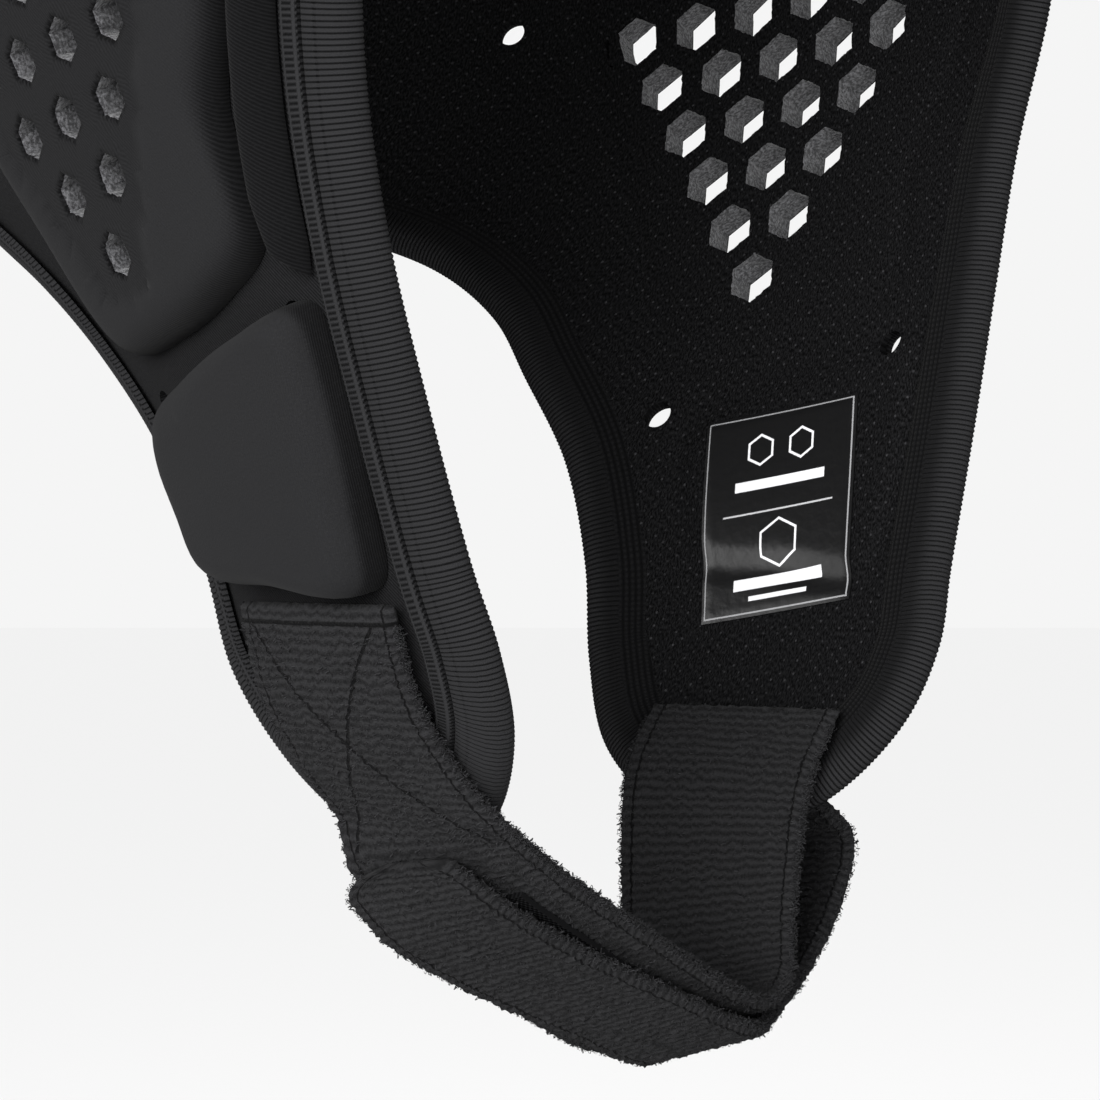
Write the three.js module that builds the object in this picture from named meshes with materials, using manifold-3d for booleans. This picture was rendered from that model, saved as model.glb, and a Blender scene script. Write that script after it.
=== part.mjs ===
// Rugby scrum cap: a padded cloth cap with two pierced ear flaps and a closed chin strap.
// Millimetres. The wearer faces -Y, +X is the wearer's left and +Z is up.
// The origin is the inside of the crown, where the cap sits on the head.
import * as THREE from 'three';
import { ParametricGeometry } from 'three/addons/geometries/ParametricGeometry.js';
import { mergeVertices } from 'three/addons/utils/BufferGeometryUtils.js';
import Module from 'manifold-3d';

const wasm = await Module();
wasm.setup();

// The hollow that the head fills, measured to the lining's inner face
const HEAD_HALF_WIDTH = 81;
const HEAD_FRONT_REACH = 100;
const HEAD_BACK_REACH = 104;
const CROWN_RISE = 100;
const FLAP_DROP = 173;
const CROWN_ROUNDNESS = 0.92;
const SQUARENESS = 0.12;
const WIDEST_Z = -CROWN_RISE;

// Walls, from the head outwards
const LINING_THICKNESS = 1.0;
const SHELL_THICKNESS = 1.6;
const GAP = 0.3;
const SHELL_INNER = LINING_THICKNESS + GAP;
const SHELL_OUTER = SHELL_INNER + SHELL_THICKNESS;
const PAD_SEAT = SHELL_OUTER + GAP;

// Raised pads
const EAR_PAD_THICKNESS = 5.4;
const EAR_PAD_WIDTH = 92;
const EAR_PAD_HEIGHT = 104;
const EAR_PAD_BACK = 2;
const EAR_PAD_DROP = 44;
const JAW_PAD_THICKNESS = 8;
const JAW_PAD_WIDTH = 56;
const JAW_PAD_HEIGHT = 40;
const JAW_PAD_BACK = -17;
const JAW_PAD_DROP = 113;
const FRONT_PAD_THICKNESS = 5;
const FRONT_PAD_WIDTH = 8;
const PLAIN_PAD_THICKNESS = 8;

// Hexagonal holes over the ears, counted in rows from the lowest
const HOLE_ROWS = [1, 2, 3, 4, 5, 6];
const HOLE_PITCH = 12;
const HOLE_ACROSS_FLATS = 8;
const HOLE_LEAN = THREE.MathUtils.degToRad(9);
const LOWEST_HOLE_BACK = -3;
const LOWEST_HOLE_DROP = 82.5;
const VENT_DIAMETER = 4.6;

// Binding round the edge
const BINDING_WIDTH = 11;
const BINDING_THICKNESS = 5.6;
const BINDING_BACKSET = 1.2;
const BINDING_MID = (SHELL_OUTER + 0.1) / 2;
const BINDING_OUTER = BINDING_MID + BINDING_THICKNESS / 2;
const BINDING_INNER = BINDING_MID - BINDING_THICKNESS / 2;

// Chin strap
const RIGHT_STRAP_WIDTH = 38;
const LEFT_STRAP_WIDTH = 30;
const STRAP_THICKNESS = 2.4;
const STRAP_CLEARANCE = 0.8;
const CHIN_DROP = 32;
const HOOK_TAPE_THICKNESS = 0.9;
const HOOK_TAPE_WIDTH = 25;
const HOOK_TAPE_SHIFT = 0.08;

// Sewn label inside the left flap
const LABEL_WIDTH = 29.5;
const LABEL_HEIGHT = 35;
const LABEL_THICKNESS = 0.7;
const LABEL_BACK = -21;
const LABEL_DROP = 121.7;
const LABEL_TURN = THREE.MathUtils.degToRad(9);

// Facets
const FORM_COLUMNS = 20;
const CROWN_ROWS = 5;
const FLAP_ROWS = 7;
const RIM_STATIONS = 56;

// Level sections below the widest level. drop is a share of FLAP_DROP, width of HEAD_HALF_WIDTH,
// front of HEAD_FRONT_REACH and back of HEAD_BACK_REACH. axis, where a section is widest, is a share
// of HEAD_FRONT_REACH behind the origin.
const SECTIONS = [
  { drop: 0.00, width: 1.000, axis: -0.02, front: 1.00, back: 1.00 },
  { drop: 0.10, width: 0.994, axis: -0.07, front: 0.96, back: 1.05 },
  { drop: 0.22, width: 0.963, axis: -0.14, front: 0.89, back: 1.10 },
  { drop: 0.39, width: 0.850, axis: -0.24, front: 0.85, back: 1.11 },
  { drop: 0.54, width: 0.753, axis: -0.35, front: 0.80, back: 0.875 },
  { drop: 0.69, width: 0.654, axis: -0.38, front: 0.76, back: 0.70 },
  { drop: 0.84, width: 0.548, axis: -0.38, front: 0.72, back: 0.68 },
  { drop: 0.91, width: 0.469, axis: -0.38, front: 0.68, back: 0.625 },
  { drop: 1.00, width: 0.358, axis: -0.38, front: 0.60, back: 0.56 },
];

// The rim of the left half, from the middle of the brow to the middle of the nape. turn is the angle
// round the head from its left side, negative to the front. drop is a share of FLAP_DROP.
const RIM = [
  { turn: -90, drop: -0.145 },
  { turn: -73, drop: -0.127 },
  { turn: -57, drop: -0.078 },
  { turn: -43, drop: 0.012 },
  { turn: -34, drop: 0.133 },
  { turn: -28.5, drop: 0.243 },
  { turn: -21.8, drop: 0.364 },
  { turn: -15.4, drop: 0.494 },
  { turn: -13.0, drop: 0.620 },
  { turn: -13.8, drop: 0.751 },
  { turn: -15.3, drop: 0.821 },
  { turn: -13.6, drop: 0.890 },
  { turn: -4.8, drop: 0.959 },
  { turn: 10, drop: 0.982 },
  { turn: 24, drop: 0.968 },
  { turn: 36, drop: 0.918 },
  { turn: 40.5, drop: 0.840 },
  { turn: 44, drop: 0.751 },
  { turn: 47, drop: 0.650 },
  { turn: 49.0, drop: 0.563 },
  { turn: 48.8, drop: 0.500 },
  { turn: 51.5, drop: 0.445 },
  { turn: 60, drop: 0.407 },
  { turn: 75, drop: 0.380 },
  { turn: 90, drop: 0.375 },
];

// Outlines of the side pads as shares of their half width and half height, back and up from the middle
const EAR_OUTLINE = [
  { back: -0.85, up: -0.15 },
  { back: -0.74, up: -0.42 },
  { back: -0.78, up: -0.76 },
  { back: -0.56, up: -0.90 },
  { back: -0.22, up: -1.00 },
  { back: 0.12, up: -1.01 },
  { back: 0.41, up: -0.65 },
  { back: 0.74, up: -0.19 },
  { back: 1.00, up: 0.25 },
  { back: 0.94, up: 0.69 },
  { back: 0.43, up: 0.95 },
  { back: -0.26, up: 0.99 },
  { back: -0.78, up: 0.84 },
  { back: -0.93, up: 0.45 },
];
const JAW_OUTLINE = [
  { back: -0.83, up: 1.02 },
  { back: -0.35, up: 0.88 },
  { back: 0.22, up: 0.62 },
  { back: 0.54, up: 0.43 },
  { back: 0.66, up: 0.05 },
  { back: 0.56, up: -0.45 },
  { back: 0.38, up: -0.86 },
  { back: -0.20, up: -0.93 },
  { back: -0.86, up: -0.96 },
  { back: -0.95, up: -0.40 },
  { back: -0.95, up: 0.50 },
];

// Line of the narrow front pads, from its lower end: its place behind the rim's inner stitching, as a
// share of FRONT_PAD_WIDTH, and how full it is there
const FRONT_PAD_LINE = [
  { along: 0.360, behind: 0.12, full: 0.05 },
  { along: 0.352, behind: 0.32, full: 0.75 },
  { along: 0.336, behind: 0.43, full: 1.00 },
  { along: 0.316, behind: 0.44, full: 1.00 },
  { along: 0.296, behind: 0.42, full: 1.00 },
  { along: 0.276, behind: 0.40, full: 1.00 },
  { along: 0.256, behind: 0.38, full: 1.00 },
  { along: 0.236, behind: 0.35, full: 0.80 },
  { along: 0.222, behind: 0.30, full: 0.05 },
];

// Plain pads by the angle at their middle, half their angle, and their upper and lower levels.
// A level is 0 at the crown, 1 at the widest level and 2 at the flap's end.
const PLAIN_PADS = [
  { name: 'forehead_pad', turn: -90, half: 36, top: 0.575, foot: 0.775 },
  { name: 'crown_front_pad', turn: -90, half: 24, top: 0.285, foot: 0.525 },
  { name: 'crown_side_pad_left', turn: -30, half: 25, top: 0.285, foot: 0.525 },
  { name: 'crown_side_pad_right', turn: 210, half: 25, top: 0.285, foot: 0.525 },
  { name: 'crown_rear_pad_left', turn: 30, half: 25, top: 0.285, foot: 0.525 },
  { name: 'crown_rear_pad_right', turn: 150, half: 25, top: 0.285, foot: 0.525 },
  { name: 'crown_back_pad', turn: 90, half: 24, top: 0.285, foot: 0.525 },
  { name: 'temple_pad_left', turn: -31, half: 16, top: 0.585, foot: 0.89 },
  { name: 'temple_pad_right', turn: 211, half: 16, top: 0.585, foot: 0.89 },
  { name: 'side_pad_left', turn: 12, half: 20, top: 0.585, foot: 0.875 },
  { name: 'side_pad_right', turn: 168, half: 20, top: 0.585, foot: 0.875 },
  { name: 'rear_pad_left', turn: 53, half: 16, top: 0.585, foot: 0.93 },
  { name: 'rear_pad_right', turn: 127, half: 16, top: 0.585, foot: 0.93 },
  { name: 'rear_middle_pad', turn: 90, half: 15, top: 0.585, foot: 0.93 },
  { name: 'back_pad_left', turn: 58, half: 13, top: 1.01, foot: 1.26 },
  { name: 'back_pad_right', turn: 122, half: 13, top: 1.01, foot: 1.26 },
  { name: 'nape_pad', turn: 90, half: 13, top: 1.01, foot: 1.26 },
];
const TOP_PAD_LEVEL = 0.215;

// Round vents of one side: back of the origin, and below the widest level
const VENTS = [
  { back: 0.562, drop: 0.206 },
  { back: -0.345, drop: 0.548 },
  { back: 0.066, drop: 0.610 },
];

// The right strap where it is sewn down the outside of the right flap, and its end inside the left flap.
// back is a share of HEAD_BACK_REACH from the origin, drop a share of FLAP_DROP. over and under say how
// far the strap has climbed over the binding.
const RIGHT_ON_FLAP = [
  { back: -0.250, drop: 0.775, over: 0.3 },
  { back: -0.257, drop: 0.844, over: 0.9 },
  { back: -0.284, drop: 0.905, over: 1.1 },
  { back: -0.325, drop: 0.945, over: 1.1 },
];
const RIGHT_INSIDE = [
  { back: -0.262, drop: 0.957, under: 1.7 },
  { back: -0.258, drop: 0.893, under: 1.0 },
];
const LEFT_ON_FLAP = [
  { back: -0.240, drop: 0.775, over: 0.2 },
  { back: -0.240, drop: 0.844, over: 0.8 },
  { back: -0.240, drop: 0.905, over: 1.1 },
  { back: -0.242, drop: 0.945, over: 1.2 },
];
// The free run under the chin: across is a share of HEAD_HALF_WIDTH, back of HEAD_BACK_REACH, and below
// of CHIN_DROP under the flap's end. tilt is how far the rear edge hangs below level, in degrees.
const CHIN_RUN = [
  { across: -0.469, back: -0.351, below: 0.06, tilt: 9 },
  { across: -0.377, back: -0.365, below: 0.28, tilt: 14 },
  { across: -0.191, back: -0.365, below: 0.55, tilt: 15 },
  { across: -0.031, back: -0.356, below: 0.77, tilt: 16 },
  { across: 0.105, back: -0.337, below: 0.92, tilt: 16 },
  { across: 0.210, back: -0.317, below: 0.96, tilt: 15 },
  { across: 0.278, back: -0.298, below: 0.84, tilt: 13 },
  { across: 0.308, back: -0.280, below: 0.43, tilt: 7 },
];
// The left strap between its flap and the place where it presses on the right strap
const LEFT_RUN = [
  { across: 0.565, back: -0.250, below: 0.12, tilt: 2 },
  { across: 0.530, back: -0.250, below: 0.46, tilt: 5 },
  { across: 0.430, back: -0.258, below: 0.80, tilt: 9 },
  { across: 0.320, back: -0.275, below: 1.02, tilt: 13 },
];
// Where the left strap follows the right one, by row of CHIN_RUN, and the places of its edges behind the
// right strap's middle line as shares of half that strap's width: the end is cut to a rounded tip
const TIP_RUN = [
  { row: 4.50, front: -0.95, rear: 0.48 },
  { row: 3.80, front: -0.92, rear: 0.48 },
  { row: 3.00, front: -0.84, rear: 0.56 },
  { row: 2.30, front: -0.70, rear: 0.72 },
  { row: 1.60, front: -0.58, rear: 0.87 },
  { row: 1.00, front: -0.52, rear: 0.96 },
  { row: 0.50, front: -0.48, rear: 0.96 },
  { row: 0.22, front: -0.44, rear: 0.93 },
  { row: 0.05, front: -0.40, rear: 0.72 },
  { row: -0.08, front: -0.30, rear: 0.42 },
  { row: -0.16, front: -0.06, rear: 0.22 },
];

// The head form

// Smooth value of a table's column at a share down the flap
function sectionValue(column, drop) {
  const last = SECTIONS.length - 1;
  let i = 0;
  while (i < last - 1 && SECTIONS[i + 1].drop < drop) i += 1;
  const slope = (k) => {
    const a = SECTIONS[Math.max(k - 1, 0)];
    const b = SECTIONS[Math.min(k + 1, last)];
    return (b[column] - a[column]) / (b.drop - a.drop);
  };
  const from = SECTIONS[i];
  const to = SECTIONS[i + 1];
  const span = to.drop - from.drop;
  const s = (drop - from.drop) / span;
  const rise = s * s * (3 - 2 * s);
  const ease = slope(i) * span * s * (1 - s) * (1 - s) - slope(i + 1) * span * s * s * (1 - s);
  return from[column] + (to[column] - from[column]) * rise + ease;
}

// The section at a level: 0 at the crown, 1 at the widest level, 2 at the flap's end
function sectionAt(level) {
  if (level > 1) {
    const drop = level - 1;
    return {
      z: WIDEST_Z - FLAP_DROP * drop,
      width: HEAD_HALF_WIDTH * sectionValue('width', drop),
      axis: HEAD_FRONT_REACH * sectionValue('axis', drop),
      front: HEAD_FRONT_REACH * sectionValue('front', drop),
      back: HEAD_BACK_REACH * sectionValue('back', drop),
    };
  }
  const angle = Math.max(level, 0) * Math.PI / 2;
  const spread = Math.sin(angle) ** CROWN_ROUNDNESS;
  return {
    z: WIDEST_Z + CROWN_RISE * Math.max(Math.cos(angle), 0) ** CROWN_ROUNDNESS,
    width: HEAD_HALF_WIDTH * spread,
    axis: HEAD_FRONT_REACH * SECTIONS[0].axis * level,
    front: HEAD_FRONT_REACH * spread,
    back: HEAD_BACK_REACH * spread,
  };
}

function levelOfZ(z) {
  if (z < WIDEST_Z) return 1 + (WIDEST_Z - z) / FLAP_DROP;
  const share = Math.min((z - WIDEST_Z) / CROWN_RISE, 1);
  return Math.acos(share ** (1 / CROWN_ROUNDNESS)) * 2 / Math.PI;
}

function basePoint(level, turn) {
  const s = sectionAt(level);
  const sine = Math.sin(turn);
  const x = s.width * Math.cos(turn) * (1 + SQUARENESS * sine * sine);
  return new THREE.Vector3(x, s.axis + (sine > 0 ? s.back : s.front) * sine, s.z);
}

function formNormal(level, turn) {
  const step = 1e-3;
  if (level < step) return new THREE.Vector3(0, 0, 1);
  const down = basePoint(level + step, turn).sub(basePoint(level - step, turn));
  const round = basePoint(level, turn + step).sub(basePoint(level, turn - step));
  return down.cross(round).normalize();
}

// A point at a height outside the lining's inner face
function formPoint(level, turn, height) {
  return basePoint(level, turn).addScaledVector(formNormal(level, turn), height);
}

// The level and turn of the left side's point at a distance behind the origin and a height
function sidePlace(y, z) {
  const level = levelOfZ(z);
  const s = sectionAt(level);
  const reach = y > s.axis ? s.back : s.front;
  return { level, turn: Math.asin(THREE.MathUtils.clamp((y - s.axis) / reach, -1, 1)) };
}

function sidePoint(y, z, height) {
  const place = sidePlace(y, z);
  return formPoint(place.level, place.turn, height);
}

function mirrored(point, side) {
  return new THREE.Vector3(point.x * side, point.y, point.z);
}

// Closed solids

// Merges a geometry's corners, drops its empty triangles and turns its faces outwards
function solidOf(geometry) {
  const bare = geometry.clone();
  bare.deleteAttribute('normal');
  bare.deleteAttribute('uv');
  const merged = mergeVertices(bare, 1e-4);
  const position = merged.getAttribute('position');
  const index = merged.getIndex();
  const corners = [];
  const a = new THREE.Vector3();
  const b = new THREE.Vector3();
  const c = new THREE.Vector3();
  let volume = 0;
  for (let i = 0; i < index.count; i += 3) {
    const [p, q, r] = [index.getX(i), index.getX(i + 1), index.getX(i + 2)];
    if (p === q || q === r || r === p) continue;
    corners.push([p, q, r]);
    a.fromBufferAttribute(position, p);
    b.fromBufferAttribute(position, q);
    c.fromBufferAttribute(position, r);
    volume += a.dot(b.cross(c));
  }
  const triangles = corners.flatMap(([p, q, r]) => (volume > 0 ? [p, q, r] : [p, r, q]));
  return new wasm.Manifold(new wasm.Mesh({
    numProp: 3,
    vertProperties: new Float32Array(position.array),
    triVerts: new Uint32Array(triangles),
  }));
}

function geometryOf(solid) {
  const mesh = solid.getMesh();
  const geometry = new THREE.BufferGeometry();
  geometry.setAttribute('position', new THREE.BufferAttribute(mesh.vertProperties, 3));
  geometry.setIndex(new THREE.BufferAttribute(mesh.triVerts, 1));
  return geometry;
}

// A solid through rings of points, each ring a closed loop, with its two ends closed to their middles
function loft(rings, firstMiddle, lastMiddle) {
  const sides = rings[0].length;
  const stacks = rings.length + 1;
  const surface = (u, v, target) => {
    const row = Math.round(v * stacks);
    if (row === 0) target.copy(firstMiddle);
    else if (row === stacks) target.copy(lastMiddle);
    else target.copy(rings[row - 1][Math.round(u * sides) % sides]);
  };
  return solidOf(new ParametricGeometry(surface, sides, stacks));
}

function middleOf(points) {
  const sum = points.reduce((total, point) => total.add(point), new THREE.Vector3());
  return sum.divideScalar(points.length);
}

// A ring of rings: the sweep of a section along a closed line
function closedSweep(rings) {
  const sides = rings[0].length;
  const surface = (u, v, target) => {
    target.copy(rings[Math.round(v * rings.length) % rings.length][Math.round(u * sides) % sides]);
  };
  return solidOf(new ParametricGeometry(surface, sides, rings.length));
}

function formLevels() {
  const levels = [];
  for (let i = 1; i <= CROWN_ROWS; i += 1) levels.push(i / CROWN_ROWS);
  for (let i = 1; i <= FLAP_ROWS; i += 1) levels.push(1 + i / FLAP_ROWS);
  return levels;
}

function formRings(height) {
  return formLevels().map((level) => {
    const ring = [];
    for (let i = 0; i < FORM_COLUMNS; i += 1) ring.push(formPoint(level, 2 * Math.PI * i / FORM_COLUMNS, height));
    return ring;
  });
}

// Everything inside a height over the lining's inner face, with a straight skirt below the flap's end
function domeCore(height, skirt = 0) {
  const rings = formRings(height);
  const hem = rings[rings.length - 1];
  if (skirt > 0) rings.push(hem.map((point) => new THREE.Vector3(point.x, point.y, point.z - skirt)));
  return loft(rings, new THREE.Vector3(0, 0, height), middleOf(rings[rings.length - 1]));
}

// A dome between two heights over the lining's inner face, open below
function domeSheet(inner, outer) {
  return domeCore(outer).subtract(domeCore(inner, BINDING_WIDTH));
}

// The rim and its binding

function rimRows() {
  const left = RIM.map((row) => ({ turn: THREE.MathUtils.degToRad(row.turn), drop: row.drop }));
  const right = left.slice(1, -1).reverse().map((row) => ({ turn: Math.PI - row.turn, drop: row.drop }));
  return [...left, ...right];
}

function rimCurves() {
  const places = rimRows().map((row) => ({ level: levelOfZ(WIDEST_Z - FLAP_DROP * row.drop), turn: row.turn }));
  const points = places.map((place) => formPoint(place.level, place.turn, BINDING_MID));
  const normals = places.map((place) => formNormal(place.level, place.turn));
  return {
    line: new THREE.CatmullRomCurve3(points, true, 'centripetal'),
    facing: new THREE.CatmullRomCurve3(normals, true, 'centripetal'),
  };
}

const RIM_CURVES = rimCurves();

// The rim's point, outward normal and the direction into the cloth, at a share of the whole rim
function rimFrame(share) {
  const wrapped = ((share % 1) + 1) % 1;
  const t = RIM_CURVES.line.getUtoTmapping(wrapped);
  const point = RIM_CURVES.line.getPoint(t);
  const along = RIM_CURVES.line.getTangent(t);
  const normal = RIM_CURVES.facing.getPoint(t);
  normal.addScaledVector(along, -normal.dot(along)).normalize();
  return { point, normal, inward: new THREE.Vector3().crossVectors(normal, along) };
}

// Sweeps a section of { inward, out } corners round the whole rim
function rimSweep(section) {
  const rings = [];
  for (let i = 0; i < RIM_STATIONS; i += 1) {
    const { point, normal, inward } = rimFrame(i / RIM_STATIONS);
    rings.push(section.map((corner) => point.clone()
      .addScaledVector(inward, corner.inward)
      .addScaledVector(normal, corner.out)));
  }
  return closedSweep(rings);
}

function bindingSolid() {
  const half = BINDING_THICKNESS / 2;
  return rimSweep([
    { inward: BINDING_WIDTH, out: half },
    { inward: 0.6, out: half },
    { inward: -BINDING_BACKSET, out: half / 3 },
    { inward: -BINDING_BACKSET, out: -half / 3 },
    { inward: 0.6, out: -half },
    { inward: BINDING_WIDTH, out: -half },
  ]);
}

function bindingClearance() {
  const half = BINDING_THICKNESS / 2 + 4;
  const reach = BINDING_WIDTH + 1.5 * GAP;
  return rimSweep([
    { inward: reach, out: half },
    { inward: -BINDING_WIDTH, out: half },
    { inward: -BINDING_WIDTH, out: -half },
    { inward: reach, out: -half },
  ]);
}

// The room below the rim, seen from the side, taken out of every sheet of cloth
function belowRim() {
  const far = 3 * HEAD_HALF_WIDTH;
  const halfRim = RIM_STATIONS / 2;
  const outline = [];
  for (let i = 0; i <= halfRim; i += 1) {
    const { point, inward } = rimFrame(i / RIM_STATIONS);
    const edge = point.clone().addScaledVector(inward, BINDING_WIDTH / 2);
    outline.push(new THREE.Vector2(edge.y, edge.z));
  }
  outline.unshift(new THREE.Vector2(-far, outline[0].y));
  outline.push(new THREE.Vector2(far, outline[outline.length - 1].y));
  outline.push(new THREE.Vector2(far, WIDEST_Z - 2 * FLAP_DROP));
  outline.push(new THREE.Vector2(-far, WIDEST_Z - 2 * FLAP_DROP));
  const prism = new THREE.ExtrudeGeometry(new THREE.Shape(outline), { depth: 2 * far, bevelEnabled: false });
  prism.translate(0, 0, -far);
  prism.applyMatrix4(new THREE.Matrix4().set(0, 0, 1, 0, 1, 0, 0, 0, 0, 1, 0, 0, 0, 0, 0, 1));
  return solidOf(prism);
}

// Holes

// A frame on one side's lining: +Y square to the cloth and +Z up along it, leaning to the back
function clothFrame(y, z, side, lean) {
  const place = sidePlace(y, z);
  const normal = mirrored(formNormal(place.level, place.turn), side);
  const centre = mirrored(basePoint(place.level, place.turn), side);
  const up = new THREE.Vector3(0, Math.sin(lean), Math.cos(lean));
  const across = new THREE.Vector3().crossVectors(normal, up).normalize();
  up.crossVectors(across, normal);
  return new THREE.Matrix4().makeBasis(across, normal, up).setPosition(centre);
}

// A prism square to the cloth at a place on one side
function holeCutter(y, z, side, radius, sides) {
  const length = 2 * (PAD_SEAT + PLAIN_PAD_THICKNESS);
  const prism = new THREE.CylinderGeometry(radius, radius, length, sides, 1);
  prism.applyMatrix4(clothFrame(y, z, side, HOLE_LEAN));
  return solidOf(prism);
}

function holeCutters(side) {
  const middleRow = (HOLE_ROWS.length - 1) / 2;
  const rowStep = HOLE_PITCH * Math.sqrt(3) / 2;
  const lowest = { y: LOWEST_HOLE_BACK, z: WIDEST_Z - LOWEST_HOLE_DROP };
  const middle = { y: lowest.y + 6, z: lowest.z + middleRow * rowStep };
  const probe = sidePoint(middle.y, middle.z, 0);
  const stretchY = sidePoint(middle.y + 1, middle.z, 0).distanceTo(probe);
  const stretchZ = sidePoint(middle.y, middle.z + 1, 0).distanceTo(probe);
  const cutters = [];
  HOLE_ROWS.forEach((count, row) => {
    for (let i = 0; i < count; i += 1) {
      const along = HOLE_PITCH * (i - (count - 1) / 2);
      const up = rowStep * row;
      const y = lowest.y + (along * Math.cos(HOLE_LEAN) + up * Math.sin(HOLE_LEAN)) / stretchY;
      const z = lowest.z + (up * Math.cos(HOLE_LEAN) - along * Math.sin(HOLE_LEAN)) / stretchZ;
      cutters.push(holeCutter(y, z, side, HOLE_ACROSS_FLATS / Math.sqrt(3), 6));
    }
  });
  return cutters;
}

function ventCutters(side) {
  return VENTS.map((vent) => {
    const z = WIDEST_Z - FLAP_DROP * vent.drop;
    return holeCutter(HEAD_BACK_REACH * vent.back, z, side, VENT_DIAMETER / 2, 6);
  });
}

function pierced(solid, cutters) {
  return cutters.reduce((left, cutter) => left.subtract(cutter), solid);
}

// A sheet of cloth with its rim, ear windows and vents cut
function clothSheet(inner, outer) {
  const trimmed = domeSheet(inner, outer).subtract(belowRim()).subtract(bindingClearance());
  return pierced(trimmed, [earWindow(1, 0), earWindow(-1, 0), ...ventCutters(1), ...ventCutters(-1)]);
}

// The window in both cloths round the pierced field, or the plug of the ear pad that fills it
function earWindow(side, clearance) {
  const foot = WIDEST_Z - LOWEST_HOLE_DROP;
  const margin = HOLE_PITCH * 0.8 - clearance;
  const widest = Math.max(...HOLE_ROWS);
  const rowStep = HOLE_PITCH * Math.sqrt(3) / 2;
  const half = HOLE_PITCH * (widest - 1) / 2;
  const rise = rowStep * (HOLE_ROWS.length - 1);
  const shoulder = rowStep * HOLE_ROWS.indexOf(widest);
  const corners = [
    [-margin, -margin * 0.6], [margin, -margin * 0.6],
    [half + margin, shoulder], [half + margin * 0.6, rise + margin * 0.8],
    [-half - margin * 0.6, rise + margin * 0.8], [-half - margin, shoulder],
  ];
  const lean = (along, up) => new THREE.Vector2(
    LOWEST_HOLE_BACK + along * Math.cos(HOLE_LEAN) + up * Math.sin(HOLE_LEAN),
    foot + up * Math.cos(HOLE_LEAN) - along * Math.sin(HOLE_LEAN));
  const outline = new THREE.Shape(corners.map(([along, up]) => lean(along, up)));
  const prism = new THREE.ExtrudeGeometry(outline, { depth: 2 * HEAD_HALF_WIDTH, bevelEnabled: false });
  prism.applyMatrix4(new THREE.Matrix4().set(0, 0, side, 0, 1, 0, 0, 0, 0, 1, 0, 0, 0, 0, 0, 1));
  return solidOf(prism);
}

// Pads

// Rings of a raised pad: its outline's share, and its height as a share of the pad's thickness
const PAD_RINGS = [
  { share: 1.00, lift: 0.35 },
  { share: 0.86, lift: 1.00 },
  { share: 0.48, lift: 1.00 },
];
const EAR_PAD_RINGS = [
  { share: 1.00, lift: 0.20 },
  { share: 0.93, lift: 0.80 },
  { share: 0.86, lift: 1.00 },
  { share: 0.48, lift: 1.00 },
];

// A pad over the cloth: spot(share, around, height) gives a point of it. Its underside follows the cloth.
function padSolid(spot, around, thickness, ringTable) {
  const ring = (share, height) => {
    const points = [];
    for (let i = 0; i < around; i += 1) points.push(spot(share, i / around, height));
    return points;
  };
  const rings = [ring(1, SHELL_INNER)];
  ringTable.forEach((row) => rings.push(ring(row.share, PAD_SEAT + row.lift * thickness)));
  const whole = loft(rings, spot(0, 0, SHELL_INNER), spot(0, 0, PAD_SEAT + thickness));
  return whole.subtract(domeCore(PAD_SEAT));
}

// A pad on one side from an outline of shares about a middle, both behind the origin and below the
// widest level
function sidePad(outline, size, middle, side, thickness, around, ringTable) {
  const corners = outline.map((row) => new THREE.Vector3(row.back, row.up, 0));
  const curve = new THREE.CatmullRomCurve3(corners, true, 'centripetal');
  const spot = (share, turn, height) => {
    const edge = curve.getPoint(turn % 1);
    const y = middle.back + share * edge.x * size.width / 2;
    const z = WIDEST_Z - middle.drop + share * edge.y * size.height / 2;
    return mirrored(sidePoint(y, z, height), side);
  };
  return padSolid(spot, around, thickness, ringTable);
}

// The pierced pad is one laminate: it fills the windows in the shell and the lining
function earPad(side, holes) {
  const size = { width: EAR_PAD_WIDTH, height: EAR_PAD_HEIGHT };
  const middle = { back: EAR_PAD_BACK, drop: EAR_PAD_DROP };
  const plain = sidePad(EAR_OUTLINE, size, middle, side, EAR_PAD_THICKNESS, 18, EAR_PAD_RINGS);
  const plug = domeSheet(0, PAD_SEAT + EAR_PAD_THICKNESS / 2).intersect(earWindow(side, GAP));
  return pierced(plain.add(plug), holes);
}

function jawPad(side) {
  const size = { width: JAW_PAD_WIDTH, height: JAW_PAD_HEIGHT };
  const middle = { back: JAW_PAD_BACK, drop: JAW_PAD_DROP };
  const plain = sidePad(JAW_OUTLINE, size, middle, side, JAW_PAD_THICKNESS, 16, EAR_PAD_RINGS);
  return pierced(plain, ventCutters(side));
}

// A rounded oblong pad between two levels
function plainPad(row) {
  const turn = THREE.MathUtils.degToRad(row.turn);
  const half = THREE.MathUtils.degToRad(row.half);
  const middle = (row.top + row.foot) / 2;
  const reach = (row.foot - row.top) / 2;
  const spot = (share, around, height) => {
    const angle = 2 * Math.PI * around;
    const corner = (value) => Math.sign(value) * Math.abs(value) ** 0.55;
    const level = middle + share * reach * corner(Math.sin(angle));
    return formPoint(level, turn + share * half * corner(Math.cos(angle)), height);
  };
  return padSolid(spot, 12, PLAIN_PAD_THICKNESS, PAD_RINGS);
}

// The six-sided pad on the very top
function topPad() {
  const spot = (share, around, height) => formPoint(share * TOP_PAD_LEVEL, 2 * Math.PI * around, height);
  return padSolid(spot, 12, PLAIN_PAD_THICKNESS, PAD_RINGS);
}

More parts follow.
